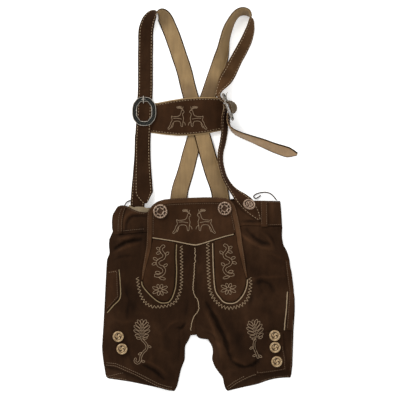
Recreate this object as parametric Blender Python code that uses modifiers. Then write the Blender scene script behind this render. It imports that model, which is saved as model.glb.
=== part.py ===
"""Child's suede lederhosen with leather braces, laid flat on a table with the front up.

Lengths are millimetres.  The tables give places on a lay plan whose squares are PLAN_STEP wide:
px runs right, py runs down towards the hems, and the square at PLAN_MIDDLE lies at the origin.
The back is flat on the table.  The front is a wall that leaves the side seams, rises to a low
plateau, and so keeps the waist and both legs open.
"""
import math

import bmesh
import bpy
from mathutils import Vector
from mathutils.bvhtree import BVHTree
from mathutils.geometry import delaunay_2d_cdt

PLAN_STEP = 1.7            # width of one square of the lay plan
PLAN_MIDDLE = (199.65, 199.94)
MM = 0.001

# --- driving sizes -----------------------------------------------------------------------------
SUEDE = 1.6                # wall of the shorts
TRIM = 1.4                 # wall of pieces sewn on the front
SEAM_GAP = 0.3             # space between sewn pieces
TRIM_GAP = 0.95            # space under a piece that lies on a curved panel
STRAP_SUEDE = 1.1          # outer layer of a strap
STRAP_LINING = 1.0         # tan layer of a strap
STRAP = STRAP_SUEDE + SEAM_GAP + STRAP_LINING
SEAM_RISE = SUEDE + SEAM_GAP        # the front wall starts here, just above the back
LEG_PLATEAU = 9.6          # height of the front wall's inside over the legs
WAIST_PLATEAU = 12.4       # and at the waist
EDGE_RUN = 19.0            # the front wall rises over this distance from a seam
LOOP_SLACK = 0.9           # a belt loop stands this much further off its waistband
HEM_DROP = 1.2             # the front sinks this much at the hems
PANEL_MESH = 9.5           # spacing of the points of a front panel
PIPING = 2.5               # diameter of corded piping
BIB_BUTTON = 24.4          # diameters of the buttons
LEG_BUTTON = 18.4
LACE = 2.0

COLOURS = {
    "suede": (0.030, 0.016, 0.010), "trim": (0.055, 0.030, 0.018), "tan": (0.30, 0.19, 0.11),
    "piping": (0.30, 0.21, 0.14), "horn": (0.50, 0.36, 0.20), "bib_button": (0.45, 0.33, 0.26),
    "metal": (0.12, 0.12, 0.13), "lace": (0.10, 0.06, 0.035),
}

for startup in list(bpy.data.objects):
    bpy.data.objects.remove(startup, do_unlink=True)
garment = bpy.data.collections.new("lederhosen")
bpy.context.scene.collection.children.link(garment)


# --- places and small helpers --------------------------------------------------------------------
def place(px, py, z=0.0):
    """A point of the lay plan, z millimetres above the table, in metres."""
    return Vector(((px - PLAN_MIDDLE[0]) * PLAN_STEP, (PLAN_MIDDLE[1] - py) * PLAN_STEP, z)) * MM


def smooth(t):
    t = min(max(t, 0.0), 1.0)
    return t * t * (3.0 - 2.0 * t)


def distance(px, py, path):
    """Millimetres from a point of the plan to a path."""
    best = 1e9
    for (ax, ay), (bx, by) in zip(path, path[1:]):
        dx, dy = bx - ax, by - ay
        t = ((px - ax) * dx + (py - ay) * dy) / max(dx * dx + dy * dy, 1e-9)
        t = min(max(t, 0.0), 1.0)
        best = min(best, math.hypot(px - ax - t * dx, py - ay - t * dy))
    return best * PLAN_STEP


def inside(px, py, outline):
    hit = False
    for (ax, ay), (bx, by) in zip(outline, outline[1:] + outline[:1]):
        if (ay > py) != (by > py) and px < (bx - ax) * (py - ay) / (by - ay) + ax:
            hit = not hit
    return hit


def between(p, q, r, s, t):
    """A smooth step from q to r, which follows the rows before and after."""
    bend = (2 * p - 5 * q + 4 * r - s) * t * t + (3 * q - p - 3 * r + s) * t ** 3
    return 0.5 * (2 * q + (r - p) * t + bend)


def curve_through(rows, count):
    """Rows of a table joined by a smooth curve: count points, evenly spread along the plan."""
    fine = []
    for i in range(len(rows) - 1):
        before, a, b = rows[max(i - 1, 0)], rows[i], rows[i + 1]
        after = rows[min(i + 2, len(rows) - 1)]
        for k in range(12):
            t = k / 12.0
            fine.append([between(*q, t) for q in zip(before, a, b, after)])
    fine.append(list(rows[-1]))
    run = [0.0]
    for a, b in zip(fine, fine[1:]):
        run.append(run[-1] + math.hypot(b[0] - a[0], b[1] - a[1]) + 1e-9)
    out, k = [], 0
    for i in range(count):
        want = run[-1] * i / (count - 1)
        while k < len(run) - 2 and run[k + 1] < want:
            k += 1
        t = min((want - run[k]) / (run[k + 1] - run[k]), 1.0)
        out.append([p + (q - p) * t for p, q in zip(fine[k], fine[k + 1])])
    return out


def twist_through(rows):
    """The rows of a strap with more sections where it rolls over or turns."""
    out = []
    for i in range(len(rows) - 1):
        before, a, b = rows[max(i - 1, 0)], rows[i], rows[i + 1]
        after = rows[min(i + 2, len(rows) - 1)]
        parts = 1 + int(abs(b[3] - a[3]) / 9.0)
        out += [[between(*q, k / parts) for q in zip(before, a, b, after)] for k in range(parts)]
    return out + [list(rows[-1])]


def inward(path, width):
    """The path moved to its right-hand side by width squares (a number, or one per point)."""
    moved = []
    for i, (x, y) in enumerate(path):
        ax, ay = path[max(i - 1, 0)]
        bx, by = path[min(i + 1, len(path) - 1)]
        length = math.hypot(bx - ax, by - ay)
        w = width[i] if isinstance(width, (list, tuple)) else width
        moved.append((x - (by - ay) / length * w, y + (bx - ax) / length * w))
    return moved


def finish(obj, slot):
    """Give the object its own material and put it in the garment's collection."""
    paint = bpy.data.materials.new(obj.name + "_" + slot)
    paint.use_nodes = True
    shader = paint.node_tree.nodes["Principled BSDF"]
    shader.inputs["Base Color"].default_value = (*COLOURS[slot], 1.0)
    shader.inputs["Roughness"].default_value = 0.35 if slot in ("metal", "horn", "bib_button") else 0.85
    shader.inputs["Metallic"].default_value = 1.0 if slot == "metal" else 0.0
    obj.data.materials.clear()
    obj.data.materials.append(paint)
    for holder in list(obj.users_collection):
        holder.objects.unlink(obj)
    garment.objects.link(obj)
    return obj


# --- the lay of the shorts -------------------------------------------------------------------------
SIDE_LEFT = [(113.6, 235.0), (109.2, 239.0), (108.8, 245.0), (109.6, 253.5), (106.9, 259.6),
             (106.2, 270.0), (105.2, 290.0), (104.2, 310.0), (103.3, 326.0), (101.9, 348.0),
             (102.6, 356.0), (103.7, 364.0)]
INSEAM_LEFT = [(174.2, 391.2), (175.6, 389.4), (177.4, 385.6), (180.0, 374.0), (181.2, 368.8),
               (184.9, 359.6), (185.0, 346.2), (188.6, 340.4), (190.8, 335.4), (195.91, 335.0)]
INSEAM_RIGHT = [(196.09, 335.0), (199.2, 338.6), (208.2, 339.6), (212.2, 346.6), (213.0, 352.7),
                (211.8, 358.8), (214.5, 366.5), (218.3, 371.8), (222.9, 377.6), (223.7, 383.3),
                (225.6, 389.4), (228.0, 391.2)]
SIDE_RIGHT = [(291.2, 372.4), (292.5, 366.0), (293.0, 350.0), (293.7, 330.0), (294.9, 312.0),
              (294.9, 299.4), (293.2, 285.0), (291.2, 271.8), (289.4, 258.8), (287.0, 251.0),
              (283.4, 245.0), (282.0, 237.4), (282.4, 226.2)]
HEM_LEFT = [(104.0, 366.2), (115.3, 367.0), (124.5, 371.0), (134.4, 375.2), (145.9, 381.2),
            (157.4, 387.0), (168.0, 390.4), (174.2, 391.2)]
HEM_RIGHT = [(228.0, 391.2), (235.9, 384.8), (243.6, 380.4), (253.5, 376.0), (266.5, 374.5),
             (281.8, 372.2), (291.2, 372.4)]
BACK_HEM_LEFT = [(105.7, 377.0), (107.7, 378.7), (118.0, 380.2), (130.6, 382.1), (149.0, 385.9),
                 (168.0, 390.4), (174.2, 391.2)]
BACK_HEM_RIGHT = [(228.0, 391.2), (240.0, 388.2), (258.0, 384.4), (268.0, 380.6), (276.0, 378.8),
                  (284.0, 377.9), (290.6, 377.9), (291.6, 375.0)]
WAIST_SIDE_LEFT = [(112.6, 234.0), (112.0, 229.0), (111.8, 220.6), (112.6, 214.4), (117.6, 206.4)]
WAIST_SIDE_RIGHT = [(282.2, 225.2), (281.4, 212.0), (280.4, 201.0)]
SEAMS = [SIDE_LEFT, INSEAM_LEFT, INSEAM_RIGHT, SIDE_RIGHT, WAIST_SIDE_LEFT, WAIST_SIDE_RIGHT]

# Each fold is a soft ridge (or a groove, if its height is negative) along a path: height, half width in mm.
FOLDS = [
    (3.0, 6.5, [(129.0, 226.0), (130.0, 221.5), (133.0, 218.0), (138.0, 217.4), (142.0, 218.4)]),
    (-4.6, 5.5, [(109.0, 251.0), (117.0, 247.0), (126.0, 243.0), (141.0, 240.0)]),
    (2.8, 7.0, [(110.5, 257.5), (126.0, 251.5), (140.0, 248.5)]),
    (2.4, 7.0, [(114.0, 238.5), (128.0, 236.0), (141.0, 234.4)]),
    (3.2, 8.0, [(249.0, 242.5), (256.0, 246.0), (266.0, 249.5), (280.0, 254.0)]),
    (-3.0, 6.5, [(251.0, 233.0), (256.0, 237.0), (262.0, 240.5), (270.0, 242.0)]),
    (2.4, 8.0, [(264.0, 231.0), (272.0, 238.0), (278.0, 247.0)]),
    (3.0, 11.0, [(254.0, 276.0), (257.0, 290.0), (256.0, 306.0)]),
    (-2.0, 6.0, [(266.0, 281.0), (268.0, 300.0), (265.0, 318.0)]),
    (2.6, 10.0, [(276.0, 288.0), (275.0, 304.0), (271.0, 320.0)]),
    (3.4, 7.0, [(203.0, 308.0), (209.5, 320.0), (215.0, 334.0), (219.0, 348.0), (223.0, 362.0)]),
    (-3.4, 5.0, [(208.0, 306.0), (215.5, 319.0), (219.5, 329.0), (224.0, 339.0), (228.0, 350.0),
                 (232.0, 360.0)]),
    (3.4, 8.0, [(219.0, 309.0), (226.5, 322.0), (232.0, 336.0), (236.0, 350.0), (239.0, 360.0)]),
    (-2.2, 6.0, [(260.0, 350.0), (259.0, 359.0), (253.0, 366.0), (242.0, 367.5)]),
    (2.6, 7.0, [(184.0, 318.0), (174.0, 322.5), (166.0, 330.0)]),
    (-1.8, 6.0, [(180.0, 311.0), (168.0, 317.0), (160.0, 326.0)]),
    (2.8, 7.0, [(141.0, 362.0), (150.0, 362.0), (160.0, 367.0), (170.0, 373.0)]),
    (-2.6, 5.0, [(143.0, 366.0), (151.0, 369.0), (159.0, 374.0), (167.0, 380.0)]),
    (2.2, 9.0, [(128.0, 345.0), (132.0, 358.0), (138.0, 370.0)]),
    (2.2, 9.0, [(150.0, 330.0), (155.0, 342.0), (153.0, 356.0)]),
    (1.8, 10.0, [(122.0, 290.0), (128.0, 306.0), (126.0, 322.0)]),
]


def front_lift(px, py):
    """Height of the inside of the front wall above the table, in millimetres."""
    rise = smooth(min(distance(px, py, seam) for seam in SEAMS) / EDGE_RUN)
    waist = smooth((285.0 - py) / 60.0)
    plateau = LEG_PLATEAU + (WAIST_PLATEAU - LEG_PLATEAU) * waist
    for height, width, path in FOLDS:
        near = distance(px, py, path) / width
        if near < 3.0:
            plateau += height * math.exp(-near * near)
    hem = min(distance(px, py, HEM_LEFT), distance(px, py, HEM_RIGHT))
    plateau -= HEM_DROP * (1.0 - smooth(hem / 22.0))
    return SEAM_RISE + (plateau - SEAM_RISE) * rise


base_panels = []           # the front pieces that trims are sewn on


def cloth_top(px, py):
    """Height of the top of the front where it has been cut, or where it would be beyond its edge."""
    tops = [tree.ray_cast(place(px, py, 90.0), Vector((0.0, 0.0, -1.0)))[0] for tree in base_panels]
    tops = [hit.z / MM for hit in tops if hit is not None]
    return max(tops) if tops else front_lift(px, py) + SUEDE


def trim_lift(px, py):
    """Height of the underside of a piece that is sewn on the front."""
    return cloth_top(px, py) + TRIM_GAP


STRAP_END_B = (178.4, 207.0)     # where the straps run under the back waistband
STRAP_END_A = (221.8, 207.0)


def back_waist_lift(px, py):
    """The back waistband lies on the table and steps up over the two strap ends."""
    step = max(1.0 - smooth((abs(px - end[0]) * PLAN_STEP - 22.0) / 11.0)
               for end in (STRAP_END_A, STRAP_END_B))
    return (STRAP + SEAM_GAP) * step


def flat(px, py):
    return 0.0


def panel(name, outline, slot, lift, wall, rim_spacing=PANEL_MESH, net_spacing=PANEL_MESH):
    """A cut piece of cloth: its outline, filled with points that follow lift, given its wall.

    All pieces share one net of points, so a piece that lies on another has the same facets.
    """
    step = rim_spacing / PLAN_STEP
    rim = []
    for (ax, ay), (bx, by) in zip(outline, outline[1:] + outline[:1]):
        parts = max(1, round(math.hypot(bx - ax, by - ay) / step))
        rim += [(ax + (bx - ax) * k / parts, ay + (by - ay) * k / parts) for k in range(parts)]
    points = [Vector(p) for p in rim]
    if lift is not flat:
        closed = rim + rim[:1]
        x0, x1 = min(p[0] for p in rim), max(p[0] for p in rim)
        y0, y1 = min(p[1] for p in rim), max(p[1] for p in rim)
        net = net_spacing / PLAN_STEP
        for row in range(int(y0 / net / 0.87), int(y1 / net / 0.87) + 1):
            for column in range(int(x0 / net) - 1, int(x1 / net) + 1):
                x, y = (column + 0.5 * (row % 2)) * net, row * net * 0.87
                if inside(x, y, rim) and distance(x, y, closed) > net_spacing * 0.36:
                    points.append(Vector((x, y)))
    loop = [(i, (i + 1) % len(rim)) for i in range(len(rim))]
    found = delaunay_2d_cdt(points, loop, [], 1, 1e-5)
    mesh = bpy.data.meshes.new(name)
    obj = bpy.data.objects.new(name, mesh)
    bpy.context.scene.collection.objects.link(obj)
    shape = bmesh.new()
    corners = [shape.verts.new(place(p[0], p[1], lift(p[0], p[1]))) for p in found[0]]
    for face in found[2]:
        shape.faces.new([corners[i] for i in face])
    bmesh.ops.recalc_face_normals(shape, faces=shape.faces)
    if sum(f.normal.z for f in shape.faces) > 0:
        bmesh.ops.reverse_faces(shape, faces=shape.faces)
    grown = bmesh.ops.extrude_face_region(shape, geom=list(shape.faces), use_keep_orig=True)
    top = [g for g in grown["geom"] if isinstance(g, bmesh.types.BMVert)]
    bmesh.ops.translate(shape, verts=top, vec=(0.0, 0.0, wall * MM))
    bmesh.ops.recalc_face_normals(shape, faces=shape.faces)
    shape.to_mesh(mesh)
    shape.free()
    return finish(obj, slot)


def ribbon(name, rows, slot, inner, outer):
    """A strap layer swept along rows of (px, py, lift, roll, width in mm).

    roll turns the strap's upper face about its length: 0 is up, 90 is to the left of the way it runs
    and 180 is down.  The layer fills the strap from inner to outer, measured from its lining face.
    """
    track = twist_through(rows)
    last = len(track) - 1
    mesh = bpy.data.meshes.new(name)
    obj = bpy.data.objects.new(name, mesh)
    bpy.context.scene.collection.objects.link(obj)
    shape = bmesh.new()
    rings = []
    for i, (px, py, lift, roll, width) in enumerate(track):
        ahead, behind = track[min(i + 1, last)], track[max(i - 1, 0)]
        along = (place(ahead[0], ahead[1]) - place(behind[0], behind[1])).normalized()
        across = Vector((-along.y, along.x, 0.0))
        turn = math.radians(roll)
        up = Vector((0.0, 0.0, 1.0)) * math.cos(turn) + across * math.sin(turn)
        side = (across * math.cos(turn) - Vector((0.0, 0.0, 1.0)) * math.sin(turn)) * width * 0.5 * MM
        rise = STRAP * 0.5 * abs(math.cos(turn)) + width * 0.5 * abs(math.sin(turn))
        middle = place(px, py, max(lift, 0.0) + rise)
        low = middle + up * (inner - STRAP * 0.5) * MM
        high = middle + up * (outer - STRAP * 0.5) * MM
        rings.append([shape.verts.new(p) for p in (low - side, low + side, high + side, high - side)])
    for a, b in zip(rings, rings[1:]):
        for j, k in ((0, 1), (1, 2), (3, 2), (0, 3)):       # every layer is split along the same diagonals
            shape.faces.new((a[j], a[k], b[k]))
            shape.faces.new((a[j], b[k], b[j]))
    shape.faces.new(rings[0])
    shape.faces.new(rings[-1][::-1])
    bmesh.ops.recalc_face_normals(shape, faces=shape.faces)
    shape.to_mesh(mesh)
    shape.free()
    return finish(obj, slot)


def strap(name, rows):
    """A strap of two layers: suede outside, tan leather inside."""
    ribbon(name + "_suede", rows, "suede", STRAP_LINING + SEAM_GAP, STRAP)
    ribbon(name + "_lining", rows, "tan", 0.0, STRAP_LINING)


def tube(name, points, slot, diameter, rounding=1):
    """A cord or corded piping along points in metres."""
    curve = bpy.data.curves.new(name, "CURVE")
    curve.dimensions = "3D"
    curve.bevel_depth = diameter * 0.5 * MM
    curve.bevel_resolution = rounding
    curve.use_fill_caps = True
    line = curve.splines.new("POLY")
    line.points.add(len(points) - 1)
    for spot, p in zip(line.points, points):
        spot.co = (*p, 1.0)
    obj = bpy.data.objects.new(name, curve)
    bpy.context.scene.collection.objects.link(obj)
    return finish(obj, slot)


def piping(name, path, count, diameter=PIPING):
    """Corded piping lying on the front along a path of the plan."""
    spots = [place(x, y, trim_lift(x, y) + diameter * 0.5) for x, y in curve_through(path, count)]
    return tube(name, spots, "piping", diameter)


def button(name, px, py, diameter, slot, lift, lean=(0.0, 0.0)):
    """A turned button: a domed rim round a sunk middle."""
    r = diameter * 0.5 * MM
    profile = [(0.0, 0.0), (0.82, 0.0), (1.0, 0.11), (0.95, 0.25), (0.78, 0.31), (0.58, 0.26),
    (0.42, 0.17),
               (0.0, 0.17)]
    mesh = bpy.data.meshes.new(name)
    mesh.from_pydata([(a * r, 0.0, b * r) for a, b in profile],
                     [(i, i + 1) for i in range(len(profile) - 1)], [])
    obj = bpy.data.objects.new(name, mesh)
    bpy.context.scene.collection.objects.link(obj)
    turned = obj.modifiers.new("Turned", "SCREW")
    turned.axis, turned.steps, turned.render_steps = "Z", 16, 16
    turned.use_merge_vertices, turned.merge_threshold = True, 1e-5
    turned.use_normal_calculate = True
    obj.location = place(px, py, lift)
    obj.rotation_euler = (math.radians(lean[0]), math.radians(lean[1]), 0.0)
    return finish(obj, slot)


def buckle_ring(name, px, py, lift, lean, swing, outer, opening):
    """A flat round-cornered buckle frame with its opening; sizes are (width, length, radius) in mm."""
    curve = bpy.data.curves.new(name, "CURVE")
    curve.dimensions, curve.fill_mode, curve.extrude = "2D", "BOTH", 1.35 * MM
    for width, length, radius in (outer, opening):
        corners = []
        for quarter, (sx, sy) in enumerate(((1, 1), (-1, 1), (-1, -1), (1, -1))):
            x, y = sx * (width * 0.5 - radius), sy * (length * 0.5 - radius)
            turns = [(quarter + k / 4.0) * math.pi / 2.0 for k in range(5)]
            corners += [(x + radius * math.cos(a), y + radius * math.sin(a)) for a in turns]
        line = curve.splines.new("POLY")
        line.points.add(len(corners) - 1)
        for spot, (x, y) in zip(line.points, corners):
            spot.co = (x * MM, y * MM, 0.0, 1.0)
        line.use_cyclic_u = True
    obj = bpy.data.objects.new(name, curve)
    bpy.context.scene.collection.objects.link(obj)
    rise = 1.35 * abs(math.cos(math.radians(lean))) + outer[0] * 0.5 * abs(math.sin(math.radians(lean)))
    obj.location = place(px, py, lift + rise)
    obj.rotation_euler = (0.0, math.radians(lean), math.radians(swing))
    return finish(obj, "metal")


def rest_on(px, py, radius, above):
    """Height at which a flat disc rests on the front, with above millimetres of cloth and gap under it."""
    r = radius / PLAN_STEP
    spots = [(0, 0)] + [(r * math.cos(a * math.pi / 6), r * math.sin(a * math.pi / 6)) for a in range(12)]
    return max(cloth_top(px + dx, py + dy) for dx, dy in spots) + above


# --- shorts ----------------------------------------------------------------------------------------
WAIST_LINE = [(114.0, 234.6), (118.0, 234.8), (128.0, 233.6), (138.0, 232.6), (150.0, 231.8),
              (195.91, 231.2)]
WAIST_LINE_RIGHT = [(196.09, 231.2), (232.0, 228.4), (243.0, 225.4), (262.0, 225.8), (282.3, 225.6)]
LOWER = 0.35               # one seam's gap on the plan

waist_line = [(x, y + LOWER) for x, y in WAIST_LINE]
waist_line_right = [(x, y + LOWER) for x, y in WAIST_LINE_RIGHT]
panel("front_panel_left", SIDE_LEFT + HEM_LEFT[:-1] + INSEAM_LEFT + waist_line[::-1],
      "suede", front_lift, SUEDE)
panel("front_panel_right", INSEAM_RIGHT + HEM_RIGHT[1:-1] + SIDE_RIGHT[:-1] + [(282.4, 226.6)]
      + waist_line_right[::-1][1:], "suede", front_lift, SUEDE)
panel("waistband_front_left", WAIST_SIDE_LEFT[1:] + [(122.0, 205.0), (128.0, 206.2), (133.0, 209.3),
      (139.0, 211.6), (146.5, 212.6), (158.0, 208.0), (170.0, 206.5), (195.91, 206.0)] + WAIST_LINE[::-1],
      "suede", front_lift, SUEDE)
panel("waistband_front_right", WAIST_LINE_RIGHT[:-1] + [(282.2, 225.6)] + WAIST_SIDE_RIGHT[1:]
      + [(256.5, 200.5), (247.0, 200.7), (238.0, 200.5), (231.0, 201.4), (224.0, 205.4), (196.09, 206.0)],
      "suede", front_lift, SUEDE)

for piece in ("front_panel_left", "front_panel_right", "waistband_front_left", "waistband_front_right"):
    cut = bpy.data.objects[piece].data
    base_panels.append(BVHTree.FromPolygons([v.co for v in cut.vertices],
                                            [f.vertices for f in cut.polygons]))

back_left = SIDE_LEFT[1:] + BACK_HEM_LEFT[:-1] + INSEAM_LEFT + [(195.91, 231.0), (112.8, 231.0)]
back_right = INSEAM_RIGHT + BACK_HEM_RIGHT[1:] + SIDE_RIGHT[1:-1] + [(282.3, 231.0), (196.09, 231.0)]
panel("back_panel_left", back_left, "suede", flat, SUEDE, 40.0)
panel("back_panel_right", back_right, "suede", flat, SUEDE, 40.0)
panel("waistband_back", [(112.6, 230.65), (112.0, 229.0), (111.8, 220.6), (112.6, 214.4), (117.6, 206.4),
      (124.0, 205.2), (129.0, 206.8), (134.0, 205.4), (153.0, 204.2), (200.0, 203.6), (256.0, 201.6),
      (280.4, 201.0), (281.4, 212.0), (282.3, 225.2), (282.2, 230.65)],
      "suede", back_waist_lift, SUEDE, 8.0)
panel("waistband_lining_left", [(129.8, 204.6), (131.6, 206.6), (134.6, 207.4), (136.2, 206.6),
      (143.4, 206.8), (147.0, 208.0), (151.0, 208.2), (156.0, 206.0), (156.0, 222.0), (128.0, 222.0),
      (128.6, 206.0)], "tan", lambda px, py: front_lift(px, py) - 2.4, 1.0)

for side, rail in (("left", [(121.6, 207.2), (126.4, 206.8), (124.4, 212.0), (123.0, 218.0),
                             (122.4, 225.0), (122.4, 233.2), (117.6, 233.8), (117.6, 225.0),
                             (118.2, 217.0), (119.6, 211.4)]),
                   ("right", [(260.2, 201.4), (267.0, 201.4), (267.4, 226.6), (260.6, 226.6)])):
    panel("belt_loop_" + side, rail, "trim", lambda px, py: trim_lift(px, py) + LOOP_SLACK, TRIM, 5.0)

# --- drop front --------------------------------------------------------------------------------------
BIB_EDGE = [(141.7, 279.5), (142.8, 268.0), (144.8, 256.5), (146.6, 246.0), (147.2, 232.0),
            (147.3, 218.0), (148.0, 211.5), (151.8, 205.8), (157.5, 201.4), (165.0, 199.2),
            (176.0, 198.3), (190.0, 197.7), (204.0, 197.2), (216.0, 197.3), (225.0, 198.1),
            (231.0, 200.6), (235.2, 206.2), (238.0, 218.0), (240.4, 230.0), (241.9, 242.0),
            (244.3, 256.5), (245.8, 268.0), (247.3, 277.5)]
BINDING_WIDTH = [1.3, 2.7, 4.0] + [4.8] * (len(BIB_EDGE) - 6) + [4.0, 2.7, 1.3]
V_PIPING = [(152.6, 237.5), (164.0, 239.2), (176.4, 241.2), (187.2, 243.5), (195.5, 244.7),
            (202.5, 243.1), (213.3, 239.6), (224.8, 236.1), (233.6, 234.0)]
TONGUE_LEFT = [(141.9, 281.4), (142.5, 285.4), (147.0, 291.4), (153.6, 298.0), (159.7, 302.2),
               (165.0, 302.8), (168.9, 301.8), (171.9, 298.4), (174.6, 291.5), (176.1, 283.8),
               (176.7, 270.0), (176.2, 256.5), (176.7, 244.3)]
TONGUE_RIGHT = [(212.6, 243.2), (212.9, 256.5), (213.7, 275.6), (215.2, 290.0), (219.1, 296.8),
                (223.7, 301.8), (229.0, 303.3), (235.1, 302.6), (240.5, 298.4), (244.9, 291.5),
                (246.9, 284.8), (247.4, 279.4)]
CENTRE_PIPING = [(195.3, 247.6), (194.9, 260.0), (193.7, 279.5), (193.0, 287.0), (194.1, 293.8),
                 (197.2, 299.1), (199.0, 304.5), (198.3, 310.6), (194.1, 316.0), (191.8, 323.0),
                 (193.0, 330.5)]
PIPING_HALF = 1.05         # half a piping and its gap, on the plan

binding_inner = inward(BIB_EDGE, BINDING_WIDTH)
panel("bib_binding", BIB_EDGE + binding_inner[::-1], "trim", trim_lift, TRIM + 0.6, 10.0)
bib_side = inward(BIB_EDGE, [w + 0.25 for w in BINDING_WIDTH])
upper_v = [(x, y - PIPING_HALF) for x, y in V_PIPING]
panel("bib_panel", [p for p in bib_side[4:19]] + upper_v[::-1], "suede", trim_lift, TRIM)
panel("flap_tongue_left", bib_side[4::-1][1:] + [(144.0, 285.2), (148.4, 290.4), (154.4, 296.2),
      (160.0, 300.3), (164.8, 300.9), (168.0, 300.1), (170.4, 297.6), (172.9, 290.9), (174.3, 283.5),
      (174.9, 270.0), (174.4, 256.5), (174.8, 242.6), (164.0, 240.8), (153.2, 239.2)],
      "suede", trim_lift, TRIM)
panel("flap_tongue_right", [(214.6, 240.9), (224.8, 237.6), (234.4, 235.4)] + bib_side[18:]
      + [(245.3, 284.4), (243.2, 290.6), (239.2, 296.9), (234.4, 300.8), (229.2, 301.5), (224.6, 300.2),
         (220.7, 295.9), (217.0, 289.4), (215.5, 275.6), (214.7, 256.5)], "suede", trim_lift, TRIM)
piping("piping_bib", V_PIPING, 20)
piping("piping_tongue_left", TONGUE_LEFT, 26)
piping("piping_tongue_right", TONGUE_RIGHT, 24)
piping("piping_centre", CENTRE_PIPING, 22)

# --- pockets, placket and buttons -----------------------------------------------------------------------
panel("pocket_facing_left", [(107.0, 271.4), (117.9, 269.4), (119.0, 297.0), (106.0, 311.4)], "trim",
      trim_lift, TRIM, 8.0)
piping("pocket_piping_left", [(119.2, 269.4), (120.4, 283.0), (120.3, 297.6), (113.6, 305.4),
      (107.2, 312.8)], 14)
panel("pocket_facing_right", [(285.0, 259.6), (288.6, 260.8), (291.7, 272.0), (293.9, 290.0),
      (293.6, 311.0), (292.4, 330.0), (286.2, 330.0), (287.8, 308.0), (289.0, 292.0), (286.8, 276.0)],
      "trim", trim_lift, TRIM, 8.0)
piping("pocket_piping_right", [(287.3, 291.6), (286.2, 309.0), (284.8, 322.0), (284.3, 330.0)], 10, 2.0)
panel("placket_right", [(256.4, 334.0), (266.0, 331.2), (282.4, 331.8), (283.6, 349.0), (285.4, 357.0),
      (286.0, 369.6), (276.0, 371.4), (266.5, 372.8), (256.0, 373.8)], "suede", trim_lift, TRIM)

BUTTONS = [
    # name, px, py, diameter, slot, cloth and gap under it
    ("bib_button_left", 160.4, 211.3, BIB_BUTTON, "bib_button", TRIM_GAP + TRIM + 1.4),
    ("bib_button_right", 224.5, 208.4, BIB_BUTTON, "bib_button", TRIM_GAP + TRIM + 1.4),
    ("leg_button_left_1", 118.4, 336.2, LEG_BUTTON, "horn", TRIM_GAP),
    ("leg_button_left_2", 122.2, 348.5, LEG_BUTTON, "horn", TRIM_GAP),
    ("leg_button_right_1", 274.5, 335.1, LEG_BUTTON, "horn", 2 * TRIM_GAP + TRIM),
    ("leg_button_right_2", 274.9, 346.9, LEG_BUTTON, "horn", 2 * TRIM_GAP + TRIM),
    ("leg_button_right_3", 276.5, 361.1, LEG_BUTTON, "horn", 2 * TRIM_GAP + TRIM),
]
for name, px, py, diameter, slot, above in BUTTONS:
    button(name, px, py, diameter, slot, rest_on(px, py, diameter * 0.42, above))

# --- braces ----------------------------------------------------------------------------------------------
# Each row: px, py, lift, roll, width.  Straps run from the back waist over the shoulder to their front end.
STRAP_LEFT = [
    (222.4, 216.0, 0.0, 180.0, 29.0), (220.0, 192.0, 0.0, 180.0, 29.0), (214.2, 175.0, 0.0, 180.0, 28.5),
    (211.3, 166.0, 0.0, 180.0, 28.0), (207.8, 155.0, 2.75, 180.0, 27.0), (199.6, 125.0, 2.75, 180.0, 26.0),
    (191.0, 97.0, 2.75, 180.0, 25.5), (188.0, 86.0, 0.0, 180.0, 25.5), (184.0, 70.0, 0.0, 180.0, 25.5),
    (178.7, 54.0, 0.0, 180.0, 25.5), (172.6, 36.0, 0.0, 180.0, 25.5), (168.7, 26.5, 0.0, 181.0, 25.0),
    (165.6, 19.4, 0.0, 188.0, 24.5), (162.5, 15.2, 0.0, 212.0, 24.5), (159.2, 13.1, 0.0, 246.0, 24.5),
    (155.8, 12.9, 0.0, 292.0, 24.5), (152.6, 15.0, 0.0, 316.0, 24.5), (149.2, 19.8, 0.0, 333.0, 24.5),
    (147.0, 25.8, 0.0, 347.0, 24.5), (145.7, 34.0, 0.0, 360.0, 24.5), (145.4, 60.0, 0.0, 360.0, 24.5),
    (145.3, 86.0, 0.0, 360.0, 24.5), (145.0, 97.0, 2.8, 360.0, 24.5), (143.4, 128.0, 2.8, 360.0, 25.0),
    (142.7, 142.0, 2.8, 360.0, 25.6), (142.7, 156.0, 2.8, 360.0, 26.0), (142.8, 170.0, 2.8, 360.0, 28.0),
    (143.2, 184.0, 2.8, 360.0, 30.2), (143.6, 192.6, 3.8, 360.0, 30.6), (144.2, 196.6, 5.4, 360.0, 23.0),
    (144.9, 200.2, 6.8, 360.0, 14.0), (145.6, 203.6, 7.6, 360.0, 4.0)]
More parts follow.
